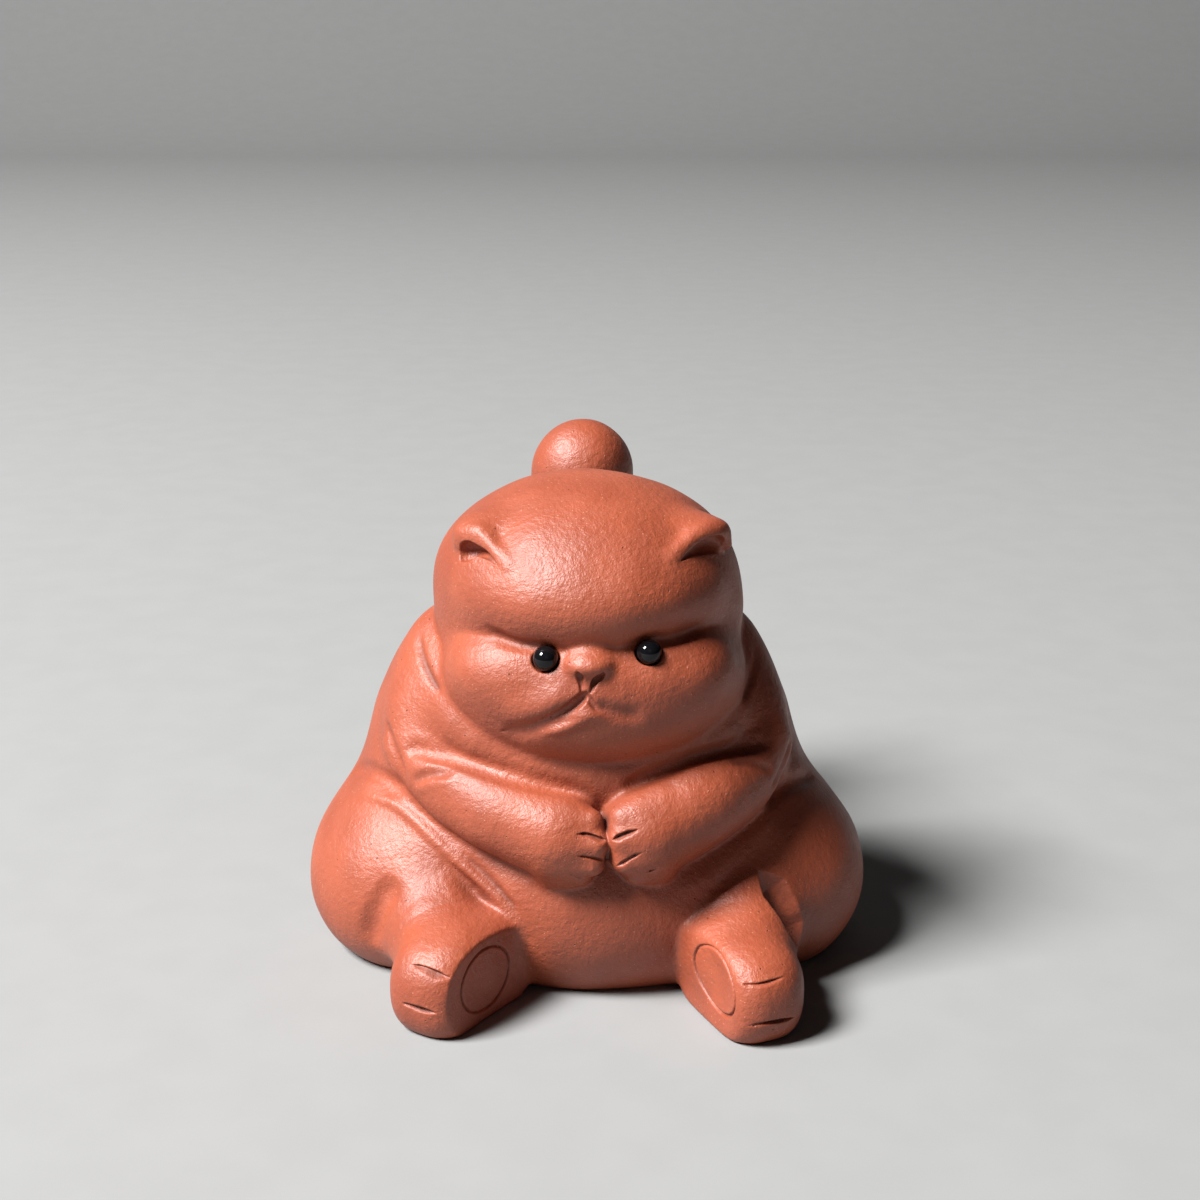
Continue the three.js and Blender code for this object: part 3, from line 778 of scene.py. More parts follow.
@dataclass(frozen=True)
class SkinFolds:
    """Creases and soft ridges modelled across the joined body, in pairs of a fold and the roll beside it."""

    arm_tops: tuple[Valley, ...] = (
        Valley(
            (
                (-21.9, -10.9, 28.5), (-19.4, -12.9, 28.8), (-14.6, -15.7, 28.6), (-9.6, -18.3, 27.8),
                (-4.7, -19.3, 26.9), (1.3, -19.1, 26),
            ),
            0.85, 1.25, 0.2,
        ),
        Valley(
            (
                (22.3, -10.8, 29), (19, -13.1, 29.5), (16.6, -14.4, 29.5), (13, -16.4, 29.5),
                (9.5, -17.8, 28.6), (6, -18.7, 27.5), (3.7, -19.1, 26.4),
            ),
            0.8, 1.1, 0.2,
        ),
    )
    elbows: tuple[Valley, ...] = (
        Valley(
            ((-20.9, -13.4, 25), (-19.4, -14.7, 26.3), (-17.3, -15.9, 27.2), (-15.4, -17.1, 27.6)),
            0.6, 0.6,
        ),
        Valley(
            ((-20.6, -13.9, 24), (-18.8, -15.3, 25.3), (-16.8, -16.6, 26.2), (-14.8, -17.5, 26.8)),
            0.6, -0.25,
        ),
        Valley(
            ((15.4, -16.9, 28.9), (18.9, -15.2, 28.2), (20.9, -14.2, 27.1), (21.9, -13.1, 26.3)),
            0.55, 0.5,
        ),
    )
    arm_sides: tuple[Valley, ...] = (
        Valley(
            (
                (-24.6, -5.6, 30.4), (-23.8, -8.6, 29), (-23, -10.2, 27.4), (-22.2, -11.3, 25.8),
                (-21.2, -12, 23.6),
            ),
            0.6, 0.9,
        ),
        Valley(
            ((-24.9, -6, 28.2), (-24.3, -7.4, 27.4), (-23.4, -9.2, 25.6), (-22.4, -10.4, 23.6)),
            0.8, -0.35,
        ),
        Valley(((24.4, -7.6, 28.8), (23.6, -9.7, 26.4), (22.4, -12.2, 25), (21.2, -13.6, 23)), 0.6, 0.7),
    )
    hips: tuple[Valley, ...] = (
        Valley(
            ((-30, 1.5, 20.2), (-28.6, -1.2, 21.8), (-26.5, -4.9, 22.9), (-23.6, -8.6, 22.7), (-21.6, -10.8, 22)),
            0.85, 1.0,
        ),
        Valley(((20.6, -11.6, 20.6), (23.1, -8.4, 22), (25.9, -5, 21.9), (28.4, 0, 20.4)), 0.85, 0.8),
    )
    thighs: tuple[Valley, ...] = (
        Valley(
            (
                (-30.5, -0.4, 19.3), (-26.8, -7.1, 20.7), (-23.5, -10, 20.9), (-20.8, -12.4, 19.9),
                (-18.6, -14.4, 18.6), (-16, -16.1, 16.7), (-13.5, -17.4, 14.9), (-11, -18.9, 13),
                (-8.2, -20.3, 10.4),
            ),
            0.6, -0.42, 0.3,
        ),
        Valley(
            (
                (-15.6, -16, 17.6), (-13.3, -17.2, 16), (-11.2, -18.3, 14.4), (-9, -19.4, 12.4),
                (-7.6, -20.3, 10.8),
            ),
            0.6, 0.35,
        ),
        Valley(
            (
                (23, -10.5, 20.2), (20.4, -13.4, 18.9), (16.7, -16.4, 16.4), (13.1, -18.8, 14.7),
                (10, -20.2, 12.8),
            ),
            1.2, -0.3,
        ),
    )
    notch: Knife = Knife(
        (
            (20, -16.6, 15.3), (21.2, -17.3, 13.6), (22.6, -17.9, 11.6), (23.8, -18.2, 9.6),
            (24.8, -17.8, 7.4), (25.3, -17.2, 5),
        ),
        (0.75, -0.6, 0.3),
        3.4, 2.1,
        reach_out=3.5,
    )
    notch_edge: float = 0.2

    def pressed(self, d: Array, p: Array, skin: float) -> Array:
        """Press every fold and ridge, then cut the notch beside the right leg."""
        for fold in (*self.arm_tops, *self.elbows, *self.arm_sides, *self.hips, *self.thighs):
            d = fold.pressed(d, p)
        return self.notch.carved(d, p, self.notch_edge, skin)


@dataclass(frozen=True)
class HandWobble:
    """The slight unevenness of a hand-smoothed surface: a sum of long, low sine waves."""

    waves: int = 14
    shortest: float = 5.0
    longest: float = 16.0
    height: float = 0.05
    seed: int = 7

    @cached_property
    def sines(self) -> tuple[Array, Array]:
        """Wave vectors and phases, drawn from a seeded generator."""
        rng = np.random.default_rng(self.seed)
        way = rng.normal(size=(self.waves, 3))
        way /= np.linalg.norm(way, axis=1)[:, None]
        length = rng.uniform(self.shortest, self.longest, self.waves)
        phase = rng.uniform(0, 2 * math.pi, self.waves)
        return (way * (2 * math.pi / length)[:, None]).astype(np.float32), phase.astype(np.float32)

    def offset(self, p: Array) -> Array:
        """Sum of sin(wave vector . point + phase), scaled so that its spread is the given height."""
        vectors, phase = self.sines
        return np.sin(p @ vectors.T + phase).sum(1) * np.float32(self.height * math.sqrt(2 / self.waves))


@dataclass(frozen=True)
class Figure:
    """The whole clay figure, moulded and fired as one piece, and the mesh of its skin."""

    torso: Torso = Torso()
    legs: Legs = Legs()
    cape: Cape = Cape()
    arms: Arms = Arms()
    head: Head = Head()
    tail: Roll = Roll(((0, 20, 8), (-0.5, 29, 20), (-1, 31, 38), (-1, 30, 52.5)), (7.5, 7.3, 7, 6.8), 6)
    tail_blend: float = 4.0
    folds: SkinFolds = SkinFolds()
    wobble: HandWobble = HandWobble()
    base_edge: float = 0.5
    sockets: tuple[Lump, ...] = ()
    socket_edge: float = 0.25
    cell: float = 0.7
    coarse: int = 4
    low: Vec3 = (-38, -36, -3)
    high: Vec3 = (38, 42, 63)
    refinements: tuple[int, ...] = (9500, 10500, 8500)
    torso_margin: float = 3.0
    band_skin: float = 4.0
    band_parts: int = 8
    newton_limit: float = 0.3
    newton_least: float = 0.3
    relax_share: float = 0.5
    first_step: float = 0.3
    normal_step: float = 0.06

    def distance(self, p: Array, skin: float = 1.5) -> Array:
        """Distance to the clay at each point, right to within skin mm of the surface."""
        d = self.torso.distance(p, skin + self.torso_margin)
        d = self.legs.joined(d, p, skin)
        d = self.cape.joined(d, p, skin)
        d = self.arms.joined(d, p, skin)
        d = self.folds.pressed(d, p, skin)
        d = self.head.joined(d, p, skin)
        for socket in self.sockets:
            d = socket.carved(d, p, self.socket_edge, skin)
        d = self.tail.joined(d, p, self.tail_blend, skin)
        d += self.wobble.offset(p)
        return -blend(-d, p[:, 2], self.base_edge)

    def sampled(self) -> tuple[Array, list[Array]]:
        """Distances on a grid: coarse everywhere, and exact in a band round the surface.

        Returns:
            The grid of distances and its three lines of coordinates.
        """
        counts = [math.ceil((b - a) / (self.cell * self.coarse)) for a, b in zip(self.low, self.high)]
        rough = [a + self.cell * self.coarse * np.arange(n + 1) for a, n in zip(self.low, counts)]
        fine = [a + self.cell * np.arange(self.coarse * n + 1) for a, n in zip(self.low, counts)]
        points = np.stack(np.meshgrid(*rough, indexing="ij"), -1).reshape(-1, 3).astype(np.float32)
        grid = self.distance(points, FAR).reshape([n + 1 for n in counts])
        for axis in range(3):
            at = np.arange(self.coarse * counts[axis] + 1) / self.coarse
            base = np.minimum(at.astype(int), counts[axis] - 1)
            share = (at - base).reshape([-1 if n == axis else 1 for n in range(3)]).astype(np.float32)
            grid = grid.take(base, axis) * (1 - share) + grid.take(base + 1, axis) * share
        band = np.nonzero(np.abs(grid) < self.cell * self.coarse)
        points = np.stack([line[index] for line, index in zip(fine, band)], -1).astype(np.float32)
        parts = np.array_split(points, self.band_parts)
        grid[band] = np.concatenate([self.distance(part, self.band_skin) for part in parts])
        return grid, fine

    def slope(self, p: Array, step: float) -> Array:
        """Gradient of the distance by differences over a step each way."""
        shifts = np.eye(3, dtype=np.float32) * np.float32(step)
        return np.stack([(self.distance(p + s) - self.distance(p - s)) / (2 * step) for s in shifts], 1)

    def settled(self, p: Array, step: float, rounds: int = 2) -> Array:
        """Move points along the slope onto the surface, by Newton's rule: p - d * slope / slope squared."""
        for _ in range(rounds):
            slope = self.slope(p, step)
            square = np.maximum((slope**2).sum(1), self.newton_least)
            d = np.clip(self.distance(p), -self.newton_limit, self.newton_limit)
            p = p - slope * (d / square)[:, None]
        return p

    def skin_mesh(self) -> tuple[Array, NDArray[np.int64]]:
        """Work out the skin: surface nets on the grid, then finer triangles where the surface bends most.

        Returns:
            Corners in mm and triangles.
        """
        grid, lines = self.sampled()
        corners, triangles = surface_nets(without_checkers(grid), lines)
        step = self.first_step
        corners = self.settled(relaxed(corners, triangles, self.relax_share), step)
        for count in self.refinements:
            normals = self.slope(corners, self.normal_step)
            score = bend_score(corners, triangles, normals)
            corners, triangles = refined(corners, triangles, score, count)
            step *= 0.5
            corners = self.settled(corners, step)
        return corners, triangles


def without_checkers(grid: Array) -> Array:
    """Fill grid points until no grid square has its two diagonals on opposite sides of the surface.

    Args:
        grid: distances at the grid's points; changed in place.

    Returns:
        The grid, whose skin then has two faces at every edge.
    """
    lower, upper = slice(None, -1), slice(1, None)
    while True:
        found = False
        for across in ((0, 1), (0, 2), (1, 2)):
            parts = []
            for ends in ((lower, lower), (upper, upper), (lower, upper), (upper, lower)):
                index = [slice(None)] * 3
                index[across[0]], index[across[1]] = ends
                parts.append(grid[tuple(index)])
            a, b, c, d = (part < 0 for part in parts)
            checker = (a == b) & (c == d) & (a != c)
            found = found or bool(checker.any())
            for part in parts:
                part[checker & (part >= 0)] = JUST_INSIDE
        if not found:
            return grid


def surface_nets(grid: Array, lines: list[Array]) -> tuple[Array, NDArray[np.int64]]:
    """Skin a grid of distances: one corner in each cell that is crossed, one quad round each crossed edge.

    Args:
        grid: distances at the grid's points.
        lines: the coordinates along the three axes.

    Returns:
        Corners and triangles, with the faces looking outwards.
    """
    strides = np.array([grid.shape[1] * grid.shape[2], grid.shape[2], 1])
    quads, crossings = [], []
    for axis in range(3):
        start = grid.take(np.arange(grid.shape[axis] - 1), axis)
        end = grid.take(np.arange(1, grid.shape[axis]), axis)
        crossed = (start < 0) != (end < 0)
        place = np.argwhere(crossed)
        a, b = start[crossed], end[crossed]
        point = np.stack([line[place[:, n]] for n, line in enumerate(lines)], 1)
        spacing = lines[axis][place[:, axis] + 1] - lines[axis][place[:, axis]]
        point[:, axis] += spacing * a / (a - b)
        one, two = strides[(axis + 1) % 3], strides[(axis + 2) % 3]
        cells = (place @ strides)[:, None] - np.array([one + two, two, 0, one])
        cells[a > 0] = cells[a > 0][:, ::-1]
        quads.append(cells)
        crossings.append(point)
    cells, corner = np.unique(np.concatenate(quads), return_inverse=True)
    corner = corner.reshape(-1, 4)
    around = np.repeat(np.concatenate(crossings), 4, axis=0)
    count = np.bincount(corner.ravel(), minlength=len(cells))
    total = [np.bincount(corner.ravel(), around[:, n], len(cells)) for n in range(3)]
    corners = (np.stack(total, 1) / count[:, None]).astype(np.float32)
    first = np.linalg.norm(corners[corner[:, 0]] - corners[corner[:, 2]], axis=1)
    second = np.linalg.norm(corners[corner[:, 1]] - corners[corner[:, 3]], axis=1)
    turned = np.where((first < second)[:, None], corner, np.roll(corner, -1, axis=1))
    return corners, np.concatenate([turned[:, [0, 1, 2]], turned[:, [0, 2, 3]]])


def relaxed(corners: Array, triangles: NDArray[np.int64], share: float) -> Array:
    """Move each corner part of the way to the mean of its neighbours.

    Args:
        corners: the corners.
        triangles: the triangles.
        share: part of the way that each corner moves.

    Returns:
        The moved corners.
    """
    here = triangles.ravel()
    there = np.roll(triangles, -1, axis=1).ravel()
    count = np.bincount(here, minlength=len(corners))
    total = [np.bincount(here, corners[there, n], len(corners)) for n in range(3)]
    mean = np.stack(total, 1) / count[:, None]
    return (corners + share * (mean - corners)).astype(np.float32)


def bend_score(
    corners: Array, triangles: NDArray[np.int64], normals: Array, base: float = 0.7, base_share: float = 0.2
) -> Array:
    """Rate triangles by how far a flat face departs from the surface: bend between corners times longest edge.

    Args:
        corners: the corners.
        triangles: the triangles.
        normals: the surface's slope at each corner.
        base: height in mm below which a triangle belongs to the underside.
        base_share: what an underside triangle's score is multiplied by.

    Returns:
        One score for each triangle.
    """
    unit = normals / np.maximum(np.linalg.norm(normals, axis=1), 1e-6)[:, None]
    corner_normals, places = unit[triangles], corners[triangles]
    bend = np.linalg.norm(corner_normals - np.roll(corner_normals, 1, axis=1), axis=2).max(1)
    edge = np.linalg.norm(places - np.roll(places, 1, axis=1), axis=2).max(1)
    return bend * edge * np.where(places[:, :, 2].max(1) < base, base_share, 1.0)


def refined(
    corners: Array, triangles: NDArray[np.int64], score: Array, count: int
) -> tuple[Array, NDArray[np.int64]]:
    """Split the highest-rated triangles into four, and their neighbours so that no gap opens.

    Args:
        corners: the corners.
        triangles: the triangles.
        score: a rating for each triangle.
        count: how many triangles are split.

    Returns:
        The new corners and triangles.
    """
    pairs = np.sort(np.stack([triangles, np.roll(triangles, -1, axis=1)], 2).reshape(-1, 2), axis=1)
    edges, edge_of = np.unique(pairs, axis=0, return_inverse=True)
    edge_of = edge_of.reshape(-1, 3)
    split = np.zeros(len(edges), bool)
    split[edge_of[np.argsort(-score)[:count]].ravel()] = True
    while True:
        marks = split[edge_of]
        two = marks.sum(1) == 2
        if not two.any():
            break
        split[edge_of[two].ravel()] = True
    number = np.full(len(edges), -1)
    number[split] = len(corners) + np.arange(split.sum())
    corners = np.concatenate([corners, corners[edges[split]].mean(1)]).astype(np.float32)
    middle = number[edge_of]
    whole = triangles[marks.sum(1) == 0]
    full = marks.sum(1) == 3
    (a, b, c), (ab, bc, ca) = triangles[full].T, middle[full].T
    quarters = [(a, ab, ca), (ab, b, bc), (ca, bc, c), (ab, bc, ca)]
    parts = [whole, *(np.stack(q, 1) for q in quarters)]
    for side in range(3):
        only = (marks.sum(1) == 1) & marks[:, side]
        a, b, c = np.roll(triangles[only], -side, axis=1).T
        m = middle[only, side]
        parts += [np.stack((a, m, c), 1), np.stack((m, b, c), 1)]
    return corners, np.concatenate(parts)


def new_piece(name: str, corners: Array, faces: NDArray[np.int64]) -> bpy.types.Object:
    """Put corners in mm and faces of one size into a smooth-shaded mesh object at the origin.

    Args:
        name: the piece's name.
        corners: the corners in mm.
        faces: corner numbers, one row for each face.

    Returns:
        The new object, linked to the scene.
    """
    mesh = bpy.data.meshes.new(name)
    mesh.vertices.add(len(corners))
    mesh.vertices.foreach_set("co", (corners * MM).astype(np.float32).ravel())
    mesh.loops.add(faces.size)
    mesh.loops.foreach_set("vertex_index", faces.astype(np.int32).ravel())
    mesh.polygons.add(len(faces))
    mesh.polygons.foreach_set("loop_start", np.arange(0, faces.size, faces.shape[1], dtype=np.int32))
    mesh.polygons.foreach_set("use_smooth", np.ones(len(faces), bool))
    mesh.update(calc_edges=True)
    mesh.validate()
    piece = bpy.data.objects.new(name, mesh)
    bpy.context.scene.collection.objects.link(piece)
    return piece


class Finish(Enum):
    """The part's two material slots."""

    CLAY = "red_clay"
    BEAD = "black_bead"


@dataclass(frozen=True)
class GroupBuilder:
    """A shader node group under construction, with short calls for its sockets and nodes."""

    tree: bpy.types.ShaderNodeTree

    @classmethod
    def named(cls, name: str) -> "GroupBuilder":
        """Start an empty shader node group."""
        return cls(bpy.data.node_groups.new(name, "ShaderNodeTree"))

    def takes(self, name: str, kind: str, value: object = None) -> None:
        """Add an input socket.

        Args:
            name: the socket's name.
            kind: the socket's type, such as NodeSocketFloat.
            value: its default, or None for no default.
        """
        socket = self.tree.interface.new_socket(name, in_out="INPUT", socket_type=kind)
        if value is not None:
            socket.default_value = value

    def gives(self, name: str, kind: str) -> None:
        """Add an output socket of the given type."""
        self.tree.interface.new_socket(name, in_out="OUTPUT", socket_type=kind)

    def node(self, kind: str, **settings: object) -> bpy.types.ShaderNode:
        """Add a node and set its plain properties."""
        made = self.tree.nodes.new(kind)
        for key, value in settings.items():
            setattr(made, key, value)
        return made

    def link(self, start: bpy.types.NodeSocket, end: bpy.types.NodeSocket) -> None:
        """Connect an output to an input."""
        self.tree.links.new(start, end)

    def put(self, value: object, socket: bpy.types.NodeSocket) -> None:
        """Feed an input with an output's link or with a plain value."""
        if isinstance(value, bpy.types.NodeSocket):
            self.link(value, socket)
        else:
            socket.default_value = value

    def math(self, rule: str, a: object, b: object = 0.0, c: object = 0.0) -> bpy.types.NodeSocket:
        """Work out rule(a, b, c) with a Math node and return its output."""
        made = self.node("ShaderNodeMath", operation=rule)
        for socket, value in zip(made.inputs, (a, b, c)):
            self.put(value, socket)
        return made.outputs[0]

    def noise(self, place: object, size: float, detail: float, rough: float = 0.5) -> bpy.types.NodeSocket:
        """Noise whose blotches are about size mm across; returns its factor."""
        made = self.node("ShaderNodeTexNoise")
        self.put(place, made.inputs["Vector"])
        made.inputs["Scale"].default_value = 1 / (size * MM)
        made.inputs["Detail"].default_value = detail
        made.inputs["Roughness"].default_value = rough
        return made.outputs[0]

    def cells(self, place: object, size: float) -> tuple[bpy.types.NodeSocket, bpy.types.NodeSocket]:
        """Scattered points about size mm apart; returns the distance to the nearest and its random colour."""
        made = self.node("ShaderNodeTexVoronoi")
        self.put(place, made.inputs["Vector"])
        made.inputs["Scale"].default_value = 1 / (size * MM)
        return made.outputs["Distance"], made.outputs["Color"]

    def ramp(self, value: object, low: float, high: float, start: float, end: float) -> bpy.types.NodeSocket:
        """Map value from low..high to start..end, eased at both ends and held beyond them."""
        made = self.node("ShaderNodeMapRange", interpolation_type="SMOOTHSTEP")
        for socket, number in zip(made.inputs, (value, low, high, start, end)):
            self.put(number, socket)
        return made.outputs[0]

    def mix(self, share: object, a: object, b: object) -> bpy.types.NodeSocket:
        """Mix two colours and return the mixed colour."""
        made = self.node("ShaderNodeMix", data_type="RGBA")
        self.put(share, made.inputs[0])
        self.put(a, made.inputs[6])
        self.put(b, made.inputs[7])
        return made.outputs[2]


@dataclass(frozen=True)
class Grain:
    """The fine-grained skin of fired clay: soft dimples, sand grains and a few open pores."""

    dimple_size: float = 0.75
    grit_size: float = 0.22
    grain_spacing: float = 0.42
    pore_spacing: float = 1.5
    grain_rim: tuple[float, float] = (0.10, 0.26)
    grain_chance: tuple[float, float] = (0.72, 0.9)
    pore_rim: tuple[float, float] = (0.03, 0.085)
    pore_chance: tuple[float, float] = (0.55, 0.7)
    dimple_height: float = 0.62
    grit_height: float = 0.3
    grain_height: float = 0.10
    pore_height: float = -0.5
    name: str = "fired_clay_grain"

    def group(self) -> bpy.types.ShaderNodeTree:
        """Build the group: Height for bumps, and masks of grains and pores, which the clay paints with light
        grain colour and painted glints, and with painted shade.
        """
        g = GroupBuilder.named(self.name)
        g.gives("Height", "NodeSocketFloat")
        g.gives("Grains", "NodeSocketFloat")
        g.gives("Pores", "NodeSocketFloat")
        place = g.node("ShaderNodeTexCoord").outputs["Object"]
        dimples = g.noise(place, self.dimple_size, 2.0)
        grit = g.noise(place, self.grit_size, 2.0, 0.6)
        distance, colour = g.cells(place, self.grain_spacing)
        chance = g.node("ShaderNodeSeparateColor")
        g.link(colour, chance.inputs[0])
        dot = g.ramp(distance, *self.grain_rim, 1.0, 0.0)
        grain = g.math("MULTIPLY", dot, g.ramp(chance.outputs[0], *self.grain_chance, 0.0, 1.0))
        far, tint = g.cells(place, self.pore_spacing)
        luck = g.node("ShaderNodeSeparateColor")
        g.link(tint, luck.inputs[0])
        pit = g.ramp(far, *self.pore_rim, 1.0, 0.0)
        pore = g.math("MULTIPLY", pit, g.ramp(luck.outputs[1], *self.pore_chance, 0.0, 1.0))
        height = g.math("MULTIPLY", grit, self.grit_height)
        height = g.math("MULTIPLY_ADD", dimples, self.dimple_height, height)
        height = g.math("MULTIPLY_ADD", grain, self.grain_height, height)
        height = g.math("MULTIPLY_ADD", pore, self.pore_height, height)
        end = g.node("NodeGroupOutput")
        g.link(height, end.inputs["Height"])
        g.link(grain, end.inputs["Grains"])
        g.link(pore, end.inputs["Pores"])
        return g.tree


@dataclass(frozen=True)
class Handling:
    """Uneven tone and polish: clouds of colour, and smears left by fingers and tea."""

    cloud_size: float = 9.0
    smear_size: float = 2.6
    cloud_range: tuple[float, float] = (0.3, 0.7)
    smear_range: tuple[float, float] = (0.35, 0.7)
    name: str = "handling"

    def group(self) -> bpy.types.ShaderNodeTree:
        """Build the group: Clouds, slow and soft, and Smears, smaller and sharper, both 0 to 1."""
        g = GroupBuilder.named(self.name)
        g.gives("Clouds", "NodeSocketFloat")
        g.gives("Smears", "NodeSocketFloat")
        place = g.node("ShaderNodeTexCoord").outputs["Object"]
        end = g.node("NodeGroupOutput")
        clouds = g.noise(place, self.cloud_size, 3.0)
        smears = g.noise(place, self.smear_size, 4.0, 0.6)
        g.link(g.ramp(clouds, *self.cloud_range, 0.0, 1.0), end.inputs["Clouds"])
        g.link(g.ramp(smears, *self.smear_range, 0.0, 1.0), end.inputs["Smears"])
        return g.tree


@dataclass(frozen=True)
class Clay:
    """Unglazed red-brown clay, a little darker in its hollows and pinholes by painted shade, with light sand
    grains that also stand in for painted glints, and lighter on its worn ridges.
    """

    base: Colour = (0.31, 0.066, 0.028)
    cloud: Colour = (0.25, 0.050, 0.021)
    # light sand grains, brightened further to stand in for painted glints on raised grains
    grain: Colour = (0.62, 0.27, 0.17)
    # painted shade: a near-black mixed into hollows and pinholes, standing in for the shade that falls there
    painted_shade: Colour = (0.045, 0.008, 0.004)
    worn: Colour = (0.40, 0.100, 0.048)
    ridge_share: float = 0.5
    grain_and_glint_share: float = 0.45
    hollow_shade_share: float = 0.75
    pore_shade_share: float = 0.7
    roughness: float = 0.47
    roughness_spread: float = 0.08
    hollow_roughness: float = 0.2
    ridge_roughness: float = -0.05
    specular: float = 0.6
    bump_depth: float = 0.2
    bump_strength: float = 1.0

    def material(
        self, grain: bpy.types.ShaderNodeTree, handling: bpy.types.ShaderNodeTree
    ) -> bpy.types.Material:
        """Build the clay material from the shared groups and the figure's own Hollow and Ridge values; Hollow
        drives painted shade.
        """
        made, g, shader = new_material(Finish.CLAY.value)
        skin = g.node("ShaderNodeGroup", node_tree=grain)
        marks = g.node("ShaderNodeGroup", node_tree=handling)
        hollow = g.node("ShaderNodeAttribute", attribute_name="hollow").outputs["Fac"]
        ridge = g.node("ShaderNodeAttribute", attribute_name="ridge").outputs["Fac"]
        colour = g.mix(marks.outputs["Clouds"], (*self.base, 1), (*self.cloud, 1))
        colour = g.mix(g.math("MULTIPLY", ridge, self.ridge_share), colour, (*self.worn, 1))
        # light sand grains mixed in: partly the grains' own colour, partly painted glints
        colour = g.mix(g.math("MULTIPLY", skin.outputs["Grains"], self.grain_and_glint_share), colour, (*self.grain, 1))
        # painted shade darkens the clay in its hollows
        colour = g.mix(g.math("MULTIPLY", hollow, self.hollow_shade_share), colour, (*self.painted_shade, 1))
        # painted shade darkens the pinholes
        colour = g.mix(g.math("MULTIPLY", skin.outputs["Pores"], self.pore_shade_share), colour, (*self.painted_shade, 1))
        g.link(colour, shader.inputs["Base Color"])
        rough = g.math("MULTIPLY_ADD", marks.outputs["Smears"], self.roughness_spread, self.roughness)
        rough = g.math("MULTIPLY_ADD", hollow, self.hollow_roughness, rough)
        rough = g.math("MULTIPLY_ADD", ridge, self.ridge_roughness, rough)
        g.link(rough, shader.inputs["Roughness"])
        shader.inputs["Specular IOR Level"].default_value = self.specular
        bump = g.node("ShaderNodeBump")
        bump.inputs["Strength"].default_value = self.bump_strength
        bump.inputs["Distance"].default_value = self.bump_depth * MM
        g.link(skin.outputs["Height"], bump.inputs["Height"])
        g.link(bump.outputs[0], shader.inputs["Normal"])
        return made


@dataclass(frozen=True)
class Gloss:
    """Polished black glass of the eye beads, with faint smears."""

    base: Colour = (0.004, 0.004, 0.005)
    roughness: float = 0.04
    roughness_spread: float = 0.05
    specular: float = 0.3

    def material(self, handling: bpy.types.ShaderNodeTree) -> bpy.types.Material:
        """Build the bead material, whose roughness follows the shared smears."""
        made, g, shader = new_material(Finish.BEAD.value)
        marks = g.node("ShaderNodeGroup", node_tree=handling)
        shader.inputs["Base Color"].default_value = (*self.base, 1)
        shader.inputs["Specular IOR Level"].default_value = self.specular
        rough = g.math("MULTIPLY_ADD", marks.outputs["Smears"], self.roughness_spread, self.roughness)
        g.link(rough, shader.inputs["Roughness"])
        return made


@dataclass(frozen=True)
class Paper:
    """Matt pale paper of the studio sweep."""

    base: Colour = (0.25, 0.25, 0.247)
    cloud_shade: float = 0.97
    roughness: float = 0.85

    def material(self, handling: bpy.types.ShaderNodeTree) -> bpy.types.Material:
        """Build the paper material, with a trace of the shared clouds in its tone."""
        made, g, shader = new_material("studio_paper")
        marks = g.node("ShaderNodeGroup", node_tree=handling)
        darker = tuple(self.cloud_shade * c for c in self.base)
        g.link(g.mix(marks.outputs["Clouds"], (*self.base, 1), (*darker, 1)), shader.inputs["Base Color"])
        shader.inputs["Roughness"].default_value = self.roughness
        return made


def new_material(name: str) -> tuple[bpy.types.Material, GroupBuilder, bpy.types.ShaderNode]:
    """Make an empty node material.

    Args:
        name: the material's name.

    Returns:
        The material, a builder for its nodes, and its Principled shader.
    """
    made = bpy.data.materials.new(name)
    made.use_nodes = True
    made.node_tree.nodes.clear()
    g = GroupBuilder(made.node_tree)
    shader = g.node("ShaderNodeBsdfPrincipled")
    g.link(shader.outputs[0], g.node("ShaderNodeOutputMaterial").inputs["Surface"])
    return made, g, shader


def bead_centre(node: str) -> tuple[Vec3, float]:
    """Centre and radius in mm of the CAD's bead, from the node's box.

    Args:
        node: the bead's node.

    Returns:
        The centre and the radius.
    """
    low, high = (np.array(corner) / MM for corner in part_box(node))
    return tuple(map(float, (low + high) / 2)), float((high - low).mean() / 2)


